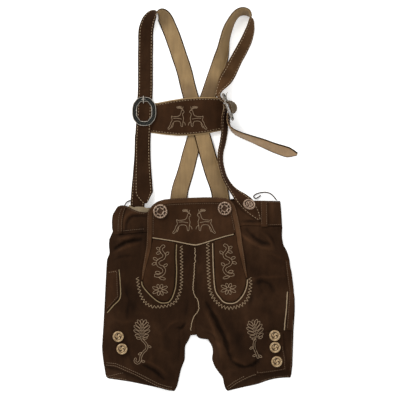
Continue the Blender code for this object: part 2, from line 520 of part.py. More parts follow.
STRAP_RIGHT = [
    (177.6, 216.0, 0.0, 180.0, 28.0), (179.7, 192.0, 0.0, 180.0, 28.0), (185.0, 174.0, 0.0, 180.0, 27.0),
    (188.2, 162.0, 0.0, 180.0, 26.5), (191.4, 150.0, 0.0, 180.0, 26.0), (201.2, 118.0, 0.0, 180.0, 25.5),
    (210.4, 90.0, 0.0, 180.0, 25.5), (216.6, 72.0, 0.0, 180.0, 25.5), (220.6, 60.0, 0.0, 168.0, 25.0),
    (223.2, 50.0, 0.0, 146.0, 24.5), (224.9, 40.0, 0.0, 132.0, 24.5), (227.7, 30.0, 0.0, 128.0, 24.5),
    (232.4, 20.0, 0.0, 119.0, 24.5), (237.2, 13.9, 0.0, 117.0, 24.5), (242.6, 11.8, 0.0, 117.0, 24.5),
    (247.4, 12.9, 0.0, 111.0, 24.5), (250.3, 16.0, 0.0, 96.0, 24.5), (251.2, 20.0, 0.0, 73.0, 24.5),
    (250.6, 25.5, 0.0, 62.0, 24.5), (249.6, 30.5, 0.0, 53.0, 24.5), (246.4, 40.0, 0.0, 42.0, 24.5),
    (241.4, 50.0, 0.0, 38.0, 24.5), (235.9, 60.0, 1.4, 36.0, 24.5), (231.0, 70.0, 2.8, 28.0, 24.0),
    (227.2, 77.0, 2.8, 8.0, 22.0), (223.9, 83.0, 2.8, -24.0, 20.0), (221.8, 87.5, 2.8, -52.0, 20.0),
    (220.1, 91.6, 3.0, -70.0, 18.4), (219.4, 95.6, 5.2, -80.0, 16.6), (221.2, 99.8, 9.6, -88.0, 15.6),
    (225.5, 102.4, 13.2, -95.0, 15.0), (228.9, 102.8, 11.4, -104.0, 17.0), (231.5, 104.6, 8.4, -113.0, 20.0),
    (232.5, 107.6, 6.6, -116.0, 22.0), (232.4, 110.8, 8.2, -110.0, 19.5), (231.7, 113.0, 12.0, -98.0, 15.5)]
STRAP_RIGHT_TAIL = [
    (228.6, 113.4, 9.0, 80.0, 18.0), (228.3, 118.0, 3.0, 80.0, 22.0), (228.6, 123.0, 0.0, 83.0, 24.5),
    (230.6, 128.0, 0.0, 92.0, 24.5), (235.4, 132.4, 0.0, 102.0, 24.5), (243.0, 136.0, 0.0, 107.0, 24.5),
    (252.0, 139.4, 0.0, 112.0, 24.5), (263.0, 143.6, 0.0, 119.0, 24.5), (275.0, 148.4, 0.0, 124.0, 24.5),
    (286.0, 152.0, 0.0, 126.0, 25.5), (290.6, 153.0, 0.0, 127.0, 20.0), (297.6, 154.2, 0.0, 130.0, 3.0)]
TAB_LEFT = [
    (141.6, 134.6, 0.0, 0.0, 22.0), (141.2, 154.0, 0.0, 0.0, 22.4), (139.8, 174.0, 0.0, 0.0, 22.8),
    (138.2, 192.0, 0.2, 0.0, 22.8), (137.7, 199.0, 2.6, 0.0, 22.8), (137.5, 203.0, 3.4, 0.0, 22.8),
    (137.4, 214.0, 3.4, 0.0, 22.8)]
TAB_RIGHT = [
    (225.6, 108.4, 4.0, 82.0, 16.0), (224.9, 112.5, 2.6, 79.0, 18.0), (224.3, 118.0, 0.6, 74.0, 20.0),
    (224.3, 125.0, 0.0, 68.0, 20.5), (224.2, 132.0, 0.0, 66.0, 20.5), (222.5, 143.0, 0.0, 66.0, 20.0),
    (220.4, 153.0, 0.0, 66.0, 20.0), (220.6, 163.0, 0.0, 66.0, 20.0), (223.2, 174.0, 0.0, 66.0, 20.0),
    (226.6, 181.6, 0.5, 64.0, 20.0), (231.0, 188.2, 3.0, 60.0, 20.5), (236.0, 194.0, 8.0, 46.0, 21.0),
    (241.2, 199.0, 13.8, 22.0, 22.5), (247.4, 204.8, 15.6, 5.0, 23.5), (253.6, 211.6, 15.9, 0.0, 18.0),
    (257.6, 217.0, 15.9, 0.0, 8.5), (259.2, 219.6, 15.9, 0.0, 3.0)]
strap("strap_left", STRAP_LEFT)
strap("strap_right", STRAP_RIGHT)
strap("strap_right_tail", STRAP_RIGHT_TAIL)
strap("tab_left", TAB_LEFT)
strap("tab_right", TAB_RIGHT)

BAND_STEPS = [(100.0, 0.0), (156.0, 0.0), (179.0, 5.6), (213.0, 5.6), (221.0, 2.9), (228.0, 0.4),
              (300.0, 0.4)]


def band_lift(px, py):
    """The chest band lies on the table and climbs over the crossing of the straps."""
    for (a, low), (b, high) in zip(BAND_STEPS, BAND_STEPS[1:]):
        if a <= px <= b:
            return low + (high - low) * (px - a) / (b - a)
    return 0.0


CHEST_TOP = [(139.0, 106.0), (147.0, 104.4), (156.0, 102.9), (170.0, 100.2), (185.0, 98.0),
             (200.0, 97.0), (212.0, 97.0), (222.4, 97.6)]
CHEST_BOTTOM = [(221.8, 130.6), (215.0, 132.0), (205.0, 134.0), (190.0, 135.6), (178.0, 136.0),
                (165.0, 134.8), (152.0, 133.0), (139.0, 131.4)]
CHEST_END = [(223.8, 102.0), (223.6, 107.0), (223.0, 114.0), (222.2, 122.0)]
CHEST_BORDER = 1.4         # the tan lining shows this far along the top and the bottom
panel("chest_band_lining", CHEST_TOP + CHEST_END + CHEST_BOTTOM, "tan", band_lift, STRAP_LINING, 12.0, 15.0)
panel("chest_band_suede", inward(CHEST_TOP, CHEST_BORDER) + CHEST_END + inward(CHEST_BOTTOM, CHEST_BORDER),
      "suede", lambda px, py: band_lift(px, py) + STRAP_LINING + SEAM_GAP + 0.2, STRAP_SUEDE, 12.0, 15.0)

# --- buckles, strap button and laces ------------------------------------------------------------------
FRAME_OUTER, FRAME_OPENING = (41.0, 49.4, 15.5), (24.4, 33.2, 7.5)     # width, length, corner radius
buckle_ring("buckle_left_ring", 144.2, 111.4, 2.8 + STRAP + SEAM_GAP, 0.0, 0.0, FRAME_OUTER, FRAME_OPENING)
top = 2.8 + STRAP + SEAM_GAP + 2.7
tube("buckle_left_prong", [place(143.5, 103.8, top + 0.1), place(143.5, 102.7, top + 0.5),
                           place(143.5, 101.2, top + 1.6), place(143.5, 97.4, top + 1.6),
                           place(143.5, 95.6, top + 1.5)], "metal", 2.2)
buckle_ring("buckle_right_ring", 228.1, 107.3, 0.0, 84.0, 20.0, FRAME_OUTER, FRAME_OPENING)
tube("buckle_right_prong", [place(226.4, 98.6, 21.0), place(226.0, 96.4, 22.0), place(226.5, 94.2, 22.5),
                            place(227.4, 92.4, 22.5)], "metal", 1.7)
button("strap_button_right", 248.7, 204.7, 21.0, "horn", 25.6, (-30.0, 14.0))

LACE_RIGHT = [(276.6, 200.2, 6.0), (272.0, 194.6, 3.0), (267.0, 192.4, 1.1), (261.0, 192.6, 1.0),
              (256.0, 194.2, 1.0), (253.8, 196.4, 1.0), (255.4, 198.4, 1.0), (258.4, 197.2, 1.0),
              (261.0, 195.2, 1.0)]
LACE_LEFT = [(124.0, 207.6, 3.9), (125.2, 204.2, 2.9), (127.6, 201.4, 1.0), (131.0, 200.5, 1.0),
             (137.0, 200.6, 1.0), (142.0, 201.2, 1.0)]
for name, route, count in (("lace_right", LACE_RIGHT, 26), ("lace_left", LACE_LEFT, 16)):
    tube(name, [place(x, y, max(z, LACE * 0.5)) for x, y, z in curve_through(route, count)], "lace", LACE, 2)
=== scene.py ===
"""Looks of a child's suede lederhosen with leather braces, laid flat with the front up.

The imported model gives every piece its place.  Cut pieces become fine shells on the form of their
solids, straps are swept again with more sections, and buttons, buckles, sewing and embroidery are
modelled on top.  Lengths are millimetres until they are written to a mesh.
"""
import math

import bmesh
import bpy
import numpy as np
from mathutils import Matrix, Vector, noise
from mathutils.bvhtree import BVHTree
from mathutils.geometry import delaunay_2d_cdt


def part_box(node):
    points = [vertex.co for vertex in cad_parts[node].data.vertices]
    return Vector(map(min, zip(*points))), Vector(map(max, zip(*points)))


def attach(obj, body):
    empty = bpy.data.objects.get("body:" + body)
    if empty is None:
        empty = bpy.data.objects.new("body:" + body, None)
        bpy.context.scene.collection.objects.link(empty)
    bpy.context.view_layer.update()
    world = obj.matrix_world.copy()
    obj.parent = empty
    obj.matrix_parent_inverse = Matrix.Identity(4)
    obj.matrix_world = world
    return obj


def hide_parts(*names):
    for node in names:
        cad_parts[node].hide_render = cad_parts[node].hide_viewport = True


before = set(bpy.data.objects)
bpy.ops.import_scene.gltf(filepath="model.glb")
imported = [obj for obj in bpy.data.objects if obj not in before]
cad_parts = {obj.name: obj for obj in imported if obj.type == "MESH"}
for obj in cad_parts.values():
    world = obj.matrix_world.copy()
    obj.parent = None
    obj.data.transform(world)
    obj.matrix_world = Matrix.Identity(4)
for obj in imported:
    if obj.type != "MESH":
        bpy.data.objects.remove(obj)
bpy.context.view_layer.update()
MM = 0.001

# --- driving sizes --------------------------------------------------------------------------------
PLAN_STEP = 1.7                  # width of one square of the lay plan
PLAN_MIDDLE = (199.65, 199.94)   # the square that lies at the origin
SUEDE = 1.6                      # wall of the shorts
STRAP_SUEDE = 1.1
STRAP_LINING = 1.0
LAYER_GAP = 0.3
STRAP = STRAP_SUEDE + LAYER_GAP + STRAP_LINING
FINE = 2.6                       # spacing of a shell's points
THREAD = 0.42                    # radius of a sewing thread
LACE = 2.0                       # diameter of the leather laces
CAMERA_HEIGHT = 2.83             # metres
CAMERA_LENS = 150.0
CLOTH_HEIGHT = 0.006             # metres: the level where the picture's scale is true
FRAME_SQUARES = 400.0            # squares of the lay plan across the picture
TABLE_DROP = 0.0004              # metres, so that no underside touches the table
ABOVE_ALL = 0.09                 # metres: a level above every piece
DOWN = Vector((0.0, 0.0, -1.0))


def place(px, py, z=0.0):
    """A point of the lay plan, z millimetres above the table, in metres."""
    return Vector(((px - PLAN_MIDDLE[0]) * PLAN_STEP, (PLAN_MIDDLE[1] - py) * PLAN_STEP, z)) * MM


def plan(x, y):
    """The lay-plan square of a place in metres."""
    return x / MM / PLAN_STEP + PLAN_MIDDLE[0], PLAN_MIDDLE[1] - y / MM / PLAN_STEP


def pairs(*numbers):
    """The points of a path whose px and py are written one after the other."""
    return tuple(zip(numbers[::2], numbers[1::2]))


def link(obj):
    bpy.context.scene.collection.objects.link(obj)
    return obj


def mesh_object(name, points, faces):
    mesh = bpy.data.meshes.new(name)
    mesh.from_pydata([tuple(p) for p in points], [], [tuple(f) for f in faces])
    mesh.update()
    mesh.shade_smooth()
    return link(bpy.data.objects.new(name, mesh))


# --- camera, table and light ----------------------------------------------------------------------
def make_camera():
    camera = bpy.data.cameras.new("camera")
    camera.lens = CAMERA_LENS
    camera.sensor_width = FRAME_SQUARES * PLAN_STEP * MM * CAMERA_LENS / (CAMERA_HEIGHT - CLOTH_HEIGHT)
    camera.clip_end = 20.0
    holder = link(bpy.data.objects.new("camera", camera))
    middle = place(200.0, 200.0)
    holder.location = (middle.x, middle.y, CAMERA_HEIGHT)
    bpy.context.scene.camera = holder


def make_table():
    table = mesh_object("table", [(-4, -4, 0), (4, -4, 0), (4, 4, 0), (-4, 4, 0)], [(0, 1, 2, 3)])
    table.location.z = -TABLE_DROP
    paint = bpy.data.materials.new("table_white")
    paint.use_nodes = True
    shader = paint.node_tree.nodes["Principled BSDF"]
    shader.inputs["Base Color"].default_value = (0.93, 0.93, 0.92, 1.0)
    shader.inputs["Roughness"].default_value = 0.9
    shader.inputs["Emission Color"].default_value = (1.0, 1.0, 1.0, 1.0)
    shader.inputs["Emission Strength"].default_value = 0.3      # so that shadows stay faint
    table.data.materials.append(paint)


def make_light(name, location, size, power, colour):
    lamp = bpy.data.lights.new(name, "AREA")
    lamp.shape = "SQUARE"
    lamp.size, lamp.energy, lamp.color = size, power, colour
    holder = link(bpy.data.objects.new(name, lamp))
    holder.location = location
    holder.rotation_euler = (-Vector(location)).to_track_quat("-Z", "Y").to_euler()


def make_studio():
    make_light("key", (-1.5, 1.9, 1.7), 1.3, 73.0, (1.0, 0.985, 0.96))
    make_light("fill", (1.6, -0.8, 1.9), 1.6, 17.0, (1.0, 1.0, 1.0))
    world = bpy.data.worlds.new("studio")
    world.use_nodes = True
    sky = world.node_tree.nodes["Background"]
    sky.inputs["Color"].default_value = (1.0, 1.0, 1.0, 1.0)
    sky.inputs["Strength"].default_value = 0.82
    bpy.context.scene.world = world
    bpy.context.scene.view_settings.view_transform = "Standard"


make_camera()
make_table()
make_studio()


# --- materials ------------------------------------------------------------------------------------
class Paint:
    """A material with a small kit for its nodes."""

    def __init__(self, name, roughness, **sockets):
        self.material = bpy.data.materials.new(name)
        self.material.use_nodes = True
        self.tree = self.material.node_tree
        self.shader = self.tree.nodes["Principled BSDF"]
        self.shader.inputs["Roughness"].default_value = roughness
        for socket, value in sockets.items():
            self.shader.inputs[socket.replace("_", " ")].default_value = value
        self.place = self.tree.nodes.new("ShaderNodeTexCoord").outputs["Object"]

    def node(self, kind, inputs, **settings):
        made = self.tree.nodes.new("ShaderNode" + kind)
        for setting, value in settings.items():
            setattr(made, setting, value)
        for socket, value in inputs.items():
            if isinstance(value, bpy.types.NodeSocket):
                self.tree.links.new(value, made.inputs[socket])
            else:
                made.inputs[socket].default_value = value
        return made

    def noise(self, per_metre, detail=4.0, rough=0.6, stretch=None):
        vector = self.place
        if stretch:
            vector = self.node("Mapping", {"Vector": vector, "Scale": stretch}).outputs[0]
        return self.node("TexNoise", {"Vector": vector, "Scale": per_metre, "Detail": detail,
                                      "Roughness": rough}).outputs["Fac"]

    def ramp(self, value, *stops):
        """A colour scale; each stop is a place from 0 to 1 and a colour."""
        made = self.node("ValToRGB", {"Fac": value})
        scale = made.color_ramp
        while len(scale.elements) < len(stops):
            scale.elements.new(0.5)
        for element, (at, colour) in zip(scale.elements, stops):
            element.position = at
            element.color = (*colour, 1.0)
        return made.outputs["Color"]

    def mix(self, amount, a, b, how="MIX"):
        return self.node("Mix", {0: amount, 6: a, 7: b}, data_type="RGBA", blend_type=how).outputs[2]

    def times(self, a, b, amount=1.0):
        return self.mix(amount, a, b, "MULTIPLY")

    def maths(self, how, a, b):
        return self.node("Math", {0: a, 1: b}, operation=how).outputs[0]

    def spread(self, value, low, high, start=0.0, end=1.0):
        """A value from start to end, spread from low to high."""
        return self.node("MapRange", {"Value": value, "From Min": start, "From Max": end, "To Min": low,
                                      "To Max": high}).outputs[0]

    def attribute(self, name):
        return self.node("Attribute", {}, attribute_name=name).outputs["Fac"]

    def finish(self, colour, height, distance, strength, roughness=None):
        """Joins the colour, the bump (its depth in millimetres) and the roughness; returns the material."""
        bump = self.node("Bump", {"Height": height, "Distance": distance * MM, "Strength": strength})
        self.tree.links.new(colour, self.shader.inputs["Base Color"])
        self.tree.links.new(bump.outputs[0], self.shader.inputs["Normal"])
        if roughness:
            self.tree.links.new(roughness, self.shader.inputs["Roughness"])
        return self.material


def shade(colour, factor):
    return tuple(min(1.0, c * factor) for c in colour)


def suede_paint(name, colour, worn, grain=1.0):
    """Brushed suede: short nap in soft patches, paler on ridges from rubbed wear and painted highlight, with
    painted shade in creases.
    """
    paint = Paint(name, 0.95, Sheen_Weight=0.04, Sheen_Roughness=0.5, Specular_IOR_Level=0.06,
                  Sheen_Tint=(*shade(worn, 9.0), 1.0))
    clouds = paint.noise(15.0, 4.0, 0.55)
    nap = paint.noise(900.0, 3.0, 0.7)
    brushed = paint.noise(95.0, 5.0, 0.62, (1.0, 0.42, 1.0))
    patches = paint.ramp(clouds, (0.34, shade(colour, 0.80)), (0.50, colour), (0.68, worn))
    fine = paint.ramp(brushed, (0.34, (0.84, 0.84, 0.84)), (0.66, (1.14, 1.13, 1.12)))
    hair = paint.ramp(nap, (0.25, (0.80, 0.80, 0.80)), (0.75, (1.16, 1.15, 1.14)))
    # fold_shade darkens creases as painted shade and lightens ridges, partly rubbed wear and partly painted
    # highlight
    fold_shade = paint.attribute("fold_shade")
    painted_fold_shade = paint.maths("MULTIPLY", paint.spread(fold_shade, 0.36, 1.0, -1.0, 0.0), paint.spread(fold_shade, 1.0, 1.6))
    tint = paint.times(paint.times(paint.times(patches, fine), hair), painted_fold_shade)
    height = paint.maths("ADD", nap, paint.maths("MULTIPLY", brushed, 1.6))
    return paint.finish(tint, height, 0.26 * grain, 0.6)


def grain_paint(name, colour, worn, roughness=0.55):
    """Smooth lining leather: fine pores, faint stretch marks, handling stains, and darkening that is partly
    soil and partly painted shade.
    """
    paint = Paint(name, roughness, Specular_IOR_Level=0.35, Coat_Weight=0.04)
    clouds = paint.noise(34.0, 5.0, 0.6)
    marks = paint.noise(90.0, 3.0, 0.55, (2.6, 0.35, 1.0))
    pores = paint.node("TexVoronoi", {"Vector": paint.place, "Scale": 950.0},
                       feature="DISTANCE_TO_EDGE").outputs["Distance"]
    base = paint.ramp(clouds, (0.28, shade(colour, 0.84)), (0.55, colour), (0.78, worn))
    streaks = paint.ramp(marks, (0.30, (0.86, 0.85, 0.83)), (0.62, (1.05, 1.05, 1.05)))
    soil_and_shade_tint = paint.mix(paint.attribute("soil_and_shade"), (1.0, 1.0, 1.0, 1.0), (0.42, 0.36, 0.28, 1.0))
    return paint.finish(paint.times(paint.times(base, streaks), soil_and_shade_tint),
                        paint.maths("ADD", paint.maths("MULTIPLY", pores, 3.0), marks), 0.16, 0.5,
                        paint.spread(clouds, roughness - 0.1, roughness + 0.18))


def thread_paint(name, colour, dark):
    """Twisted thread: fine slanting plies and uneven dye."""
    paint = Paint(name, 0.85, Sheen_Weight=0.03, Specular_IOR_Level=0.12)
    plies = paint.node("TexWave", {"Vector": paint.place, "Scale": 480.0, "Distortion": 1.5},
                       wave_type="BANDS", bands_direction="DIAGONAL").outputs["Fac"]
    faded = paint.spread(paint.noise(160.0, 3.0), 0.0, 0.45, 0.35, 0.7)
    lit = paint.ramp(plies, (0.0, shade(colour, 0.74)), (0.6, colour))
    return paint.finish(paint.mix(faded, lit, (*dark, 1.0)), plies, 0.12, 0.7)


def horn_paint(name, colour, dark, pale, polish):
    """Antler: cloudy bands from pale rim to dark pith, polished where it is worn."""
    paint = Paint(name, 0.80 - 0.42 * polish, Coat_Weight=0.2 * polish, Coat_Roughness=0.25,
                  Specular_IOR_Level=0.1 + 0.35 * polish, Subsurface_Weight=0.05 * polish,
                  Subsurface_Radius=(0.003, 0.002, 0.001))
    bands = paint.noise(210.0, 5.0, 0.6, (1.0, 2.2, 1.0))
    specks = paint.noise(1500.0, 2.0, 0.6)
    base = paint.ramp(bands, (0.25, dark), (0.48, colour), (0.72, pale))
    grime = paint.ramp(specks, (0.3, (0.72, 0.66, 0.58)), (0.6, (1.0, 1.0, 1.0)))
    return paint.finish(paint.times(base, grime, 0.5), paint.maths("ADD", bands, specks), 0.10, 0.35)


def metal_paint(name, bright, dark, roughness, shift):
    """Antiqued metal: raised parts rubbed bright, hollows blackened."""
    paint = Paint(name, roughness, Metallic=1.0)
    worn = paint.node("NewGeometry", {}).outputs["Pointiness"]
    stains = paint.noise(420.0, 5.0, 0.65)
    edge = paint.maths("ADD", worn, paint.maths("MULTIPLY", stains, 0.12))
    tint = paint.ramp(edge, (0.50 + shift, dark), (0.575 + shift, shade(bright, 0.7)),
                      (0.63 + shift, bright))
    return paint.finish(tint, stains, 0.10, 0.5, paint.spread(stains, roughness - 0.08, roughness + 0.25))


# Linear colours: suede and leather have a plain and a worn one, thread a clean and a faded one, horn a
# middle, a dark and a pale one with its polish, metal a bright and a dark one with its roughness.
PAINTS = {
    "suede": suede_paint("suede_dark_brown", (0.0182, 0.0080, 0.0034), (0.0285, 0.0132, 0.0060)),
    "suede_waist": suede_paint("suede_waist_brown", (0.0245, 0.0110, 0.0048), (0.0364, 0.0168, 0.0076)),
    "suede_front": suede_paint("suede_red_brown", (0.0270, 0.0116, 0.0048), (0.0370, 0.0168, 0.0076), 0.8),
    "suede_strap": suede_paint("suede_strap_brown", (0.0205, 0.0090, 0.0037), (0.0290, 0.0134, 0.0060), 0.8),
    # suede_lit: a lighter copy of the strap suede, painted light on the right strap's suede
    "suede_lit": suede_paint("suede_painted_light_brown", (0.0580, 0.0285, 0.0118), (0.082, 0.0430, 0.0190), 0.8),
    "suede_inside": suede_paint("suede_inside", (0.0255, 0.0124, 0.0062), (0.0375, 0.0190, 0.0098), 0.7),
    "trim": suede_paint("suede_edge_band", (0.0500, 0.0232, 0.0104), (0.0720, 0.0365, 0.0175), 0.6),
    "tan": grain_paint("tan_lining", (0.216, 0.136, 0.0545), (0.27, 0.183, 0.082)),
    # tan_tail: a lighter copy of the tan lining, painted light on the strap's tail
    "tan_tail": grain_paint("tan_lining_painted_light", (0.300, 0.184, 0.0860), (0.37, 0.245, 0.130)),
    # tan_inside: a darker copy of the tan lining, painted shade inside the waist opening
    "tan_inside": grain_paint("tan_lining_painted_shade", (0.165, 0.122, 0.0680), (0.21, 0.160, 0.096)),
    # tan_loop_shade: a darker copy of the tan lining, painted shade where it bends round the right buckle
    "tan_loop_shade": grain_paint("tan_lining_loop_shade", (0.062, 0.037, 0.011), (0.10, 0.062, 0.020), 0.8),
    "lace": grain_paint("leather_lace", (0.024, 0.011, 0.005), (0.050, 0.026, 0.013), 0.75),
    "piping": thread_paint("beige_piping", (0.335, 0.248, 0.155), (0.16, 0.105, 0.06)),
    "piping_olive": thread_paint("olive_piping", (0.235, 0.170, 0.090), (0.11, 0.075, 0.04)),
    "stitch": thread_paint("beige_stitches", (0.34, 0.245, 0.150), (0.17, 0.105, 0.06)),
    "stitch_hem": thread_paint("hem_stitches", (0.190, 0.128, 0.078), (0.09, 0.055, 0.032)),
    "stitch_brown": thread_paint("brown_stitches", (0.120, 0.075, 0.043), (0.05, 0.028, 0.016)),
    "embroidery": thread_paint("beige_embroidery", (0.29, 0.205, 0.130), (0.16, 0.105, 0.06)),
    "horn": horn_paint("horn_button", (0.275, 0.176, 0.078), (0.080, 0.042, 0.016),
                       (0.52, 0.38, 0.21), 1.0),
    "bib_button": horn_paint("bib_horn", (0.235, 0.150, 0.098), (0.070, 0.040, 0.022),
                             (0.47, 0.355, 0.26), 1.0),
    # horn_dark and bib_dark: carved hollows partly of darker horn and partly painted shade, and painted
    # shade at a button's edge
    "horn_dark": horn_paint("horn_carving_and_painted_shade", (0.036, 0.018, 0.008), (0.016, 0.008, 0.004),
                            (0.07, 0.038, 0.018), 0.0),
    "bib_dark": horn_paint("bib_carving_and_painted_shade", (0.034, 0.017, 0.009), (0.014, 0.007, 0.004),
                           (0.08, 0.043, 0.026), 0.0),
    "metal": metal_paint("antique_buckle", (0.33, 0.30, 0.26), (0.06, 0.055, 0.05), 0.32, -0.05),
    "metal_dark": metal_paint("blackened_channel", (0.055, 0.057, 0.050), (0.010, 0.011, 0.010), 0.5, 0.0),
    # metal_side: a darker copy of the metal for the buckle's outer wall and underside
    "metal_side": metal_paint("metal_side_darker", (0.155, 0.120, 0.092), (0.035, 0.026, 0.019), 0.45, 0.0),
}


def wear(obj, *paints):
    obj.data.materials.clear()
    for paint in paints:
        obj.data.materials.append(PAINTS[paint])
    return obj


def paint_faces(obj, choose):
    """Gives each face the paint whose number choose says."""
    for face in obj.data.polygons:
        face.material_index = int(choose(face))


def turn_outwards(obj):
    work = bmesh.new()
    work.from_mesh(obj.data)
    bmesh.ops.recalc_face_normals(work, faces=work.faces)
    work.to_mesh(obj.data)
    work.free()


def join_up(piece, node=None):
    """Every piece rides the one body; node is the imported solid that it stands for."""
    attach(piece, "root")
    if node:
        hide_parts(node)
    return piece


# --- cloth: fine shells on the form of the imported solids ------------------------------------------
SHARP_CORNER = 0.75              # radians
ROW_SHARE = 0.87                 # distance of the rows in a grid of even triangles, to their spacing
LOOSE_FROM, LOOSE_WITHIN = 4.2, 4.5     # mm above the table where the front begins to be free to crease
FOLD_FOR_FULL_SHADE = 1.55             # mm of crease at which the suede's painted crease shade is darkest, and a ridge palest
CREASE_REACH = 3.2               # half widths from its path where a crease ends


def tree_of(obj):
    mesh = obj.data
    return BVHTree.FromPolygons([v.co for v in mesh.vertices], [f.vertices for f in mesh.polygons])


def outline_of(node):
    """The cut edge of a piece, as the ordered rim of its underside, in metres."""
    work = bmesh.new()
    work.from_mesh(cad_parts[node].data)
    bmesh.ops.remove_doubles(work, verts=work.verts, dist=1e-6)
    work.normal_update()
    for face in work.faces:
        face.tag = face.normal.z < -0.05
    steps = {}
    for face in work.faces:
        for loop in face.loops:
            if face.tag and sum(other.tag for other in loop.edge.link_faces) == 1:
                steps[loop.vert.index] = (loop.link_loop_next.vert.index, loop.vert.co.copy())
    start = here = next(iter(steps))
    rim = []
    while True:
        following, spot = steps[here]
        rim.append((spot.x, spot.y))
        here = following
        if here == start or len(rim) > len(steps):
            break
    work.free()
    return rim


def even_rim(rim, spacing):
    """The rim with evenly spaced points; its shallow corners are eased, its sharp ones are kept."""
    points = np.array(rim)
    for _ in range(2):
        before, after = np.roll(points, 1, 0), np.roll(points, -1, 0)
        a, b = points - before, after - points
        turn = np.abs(np.arctan2(a[:, 0] * b[:, 1] - a[:, 1] * b[:, 0], (a * b).sum(1)))
        cut = (turn < SHARP_CORNER)[:, None]
        eased = np.stack([np.where(cut, 0.82 * points + 0.18 * beside_it, points)
                          for beside_it in (before, after)], 1)
        points = np.concatenate([pair[:1] if not c[0] else pair for pair, c in zip(eased, cut)])
    out = []
    for a, b in zip(points, np.roll(points, -1, 0)):
        parts = max(1, int(round(np.hypot(*(b - a)) / spacing)))
        out += [a + (b - a) * k / parts for k in range(parts)]
    kept = [out[0]]
    for spot in out[1:]:
        if np.hypot(*(spot - kept[-1])) > spacing * 0.3:
            kept.append(spot)
    return np.array(kept)


def inset_rim(rim, inset):
    """The rim moved inwards by inset millimetres, or outwards if it is negative."""
    x, y = rim.T
    turning = np.sign(np.dot(x, np.roll(y, -1)) - np.dot(y, np.roll(x, -1)))
    along = np.roll(rim, -2, 0) - np.roll(rim, 2, 0)
    along /= np.maximum(np.hypot(*along.T), 1e-12)[:, None]
    return rim + np.column_stack([-along[:, 1], along[:, 0]]) * turning * inset * MM


def points_inside(points, rim):
    """Which points lie inside the rim, and how far each is from it."""
    hit = np.zeros(len(points), bool)
    far = np.full(len(points), 9.0)
    for a, b in zip(rim, np.roll(rim, -1, 0)):
        crosses = (a[1] > points[:, 1]) != (b[1] > points[:, 1])
        with np.errstate(divide="ignore", invalid="ignore"):
            at = (b[0] - a[0]) * (points[:, 1] - a[1]) / (b[1] - a[1]) + a[0]
        hit ^= crosses & (points[:, 0] < at)
        step = b - a
        t = np.clip(((points - a) @ step) / max(step @ step, 1e-12), 0, 1)
        far = np.minimum(far, np.hypot(*(points - a - t[:, None] * step).T))
    return hit, far


def drop_on(tree, x, y):
    """Height of a surface under a place, in metres, or None beside it."""
    for dx, dy in ((0, 0), (3, 0), (-3, 0), (0, 3), (0, -3), (8, 8), (-8, -8), (8, -8), (-8, 8)):
        hit = tree.ray_cast(Vector((x + dx * 1e-4, y + dy * 1e-4, ABOVE_ALL)), DOWN)[0]
        if hit is not None:
            return hit.z
    return None


BASE_NODES = ("front_panel_left", "front_panel_right", "waistband_front_left", "waistband_front_right")
base_solids = [tree_of(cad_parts[node]) for node in BASE_NODES]

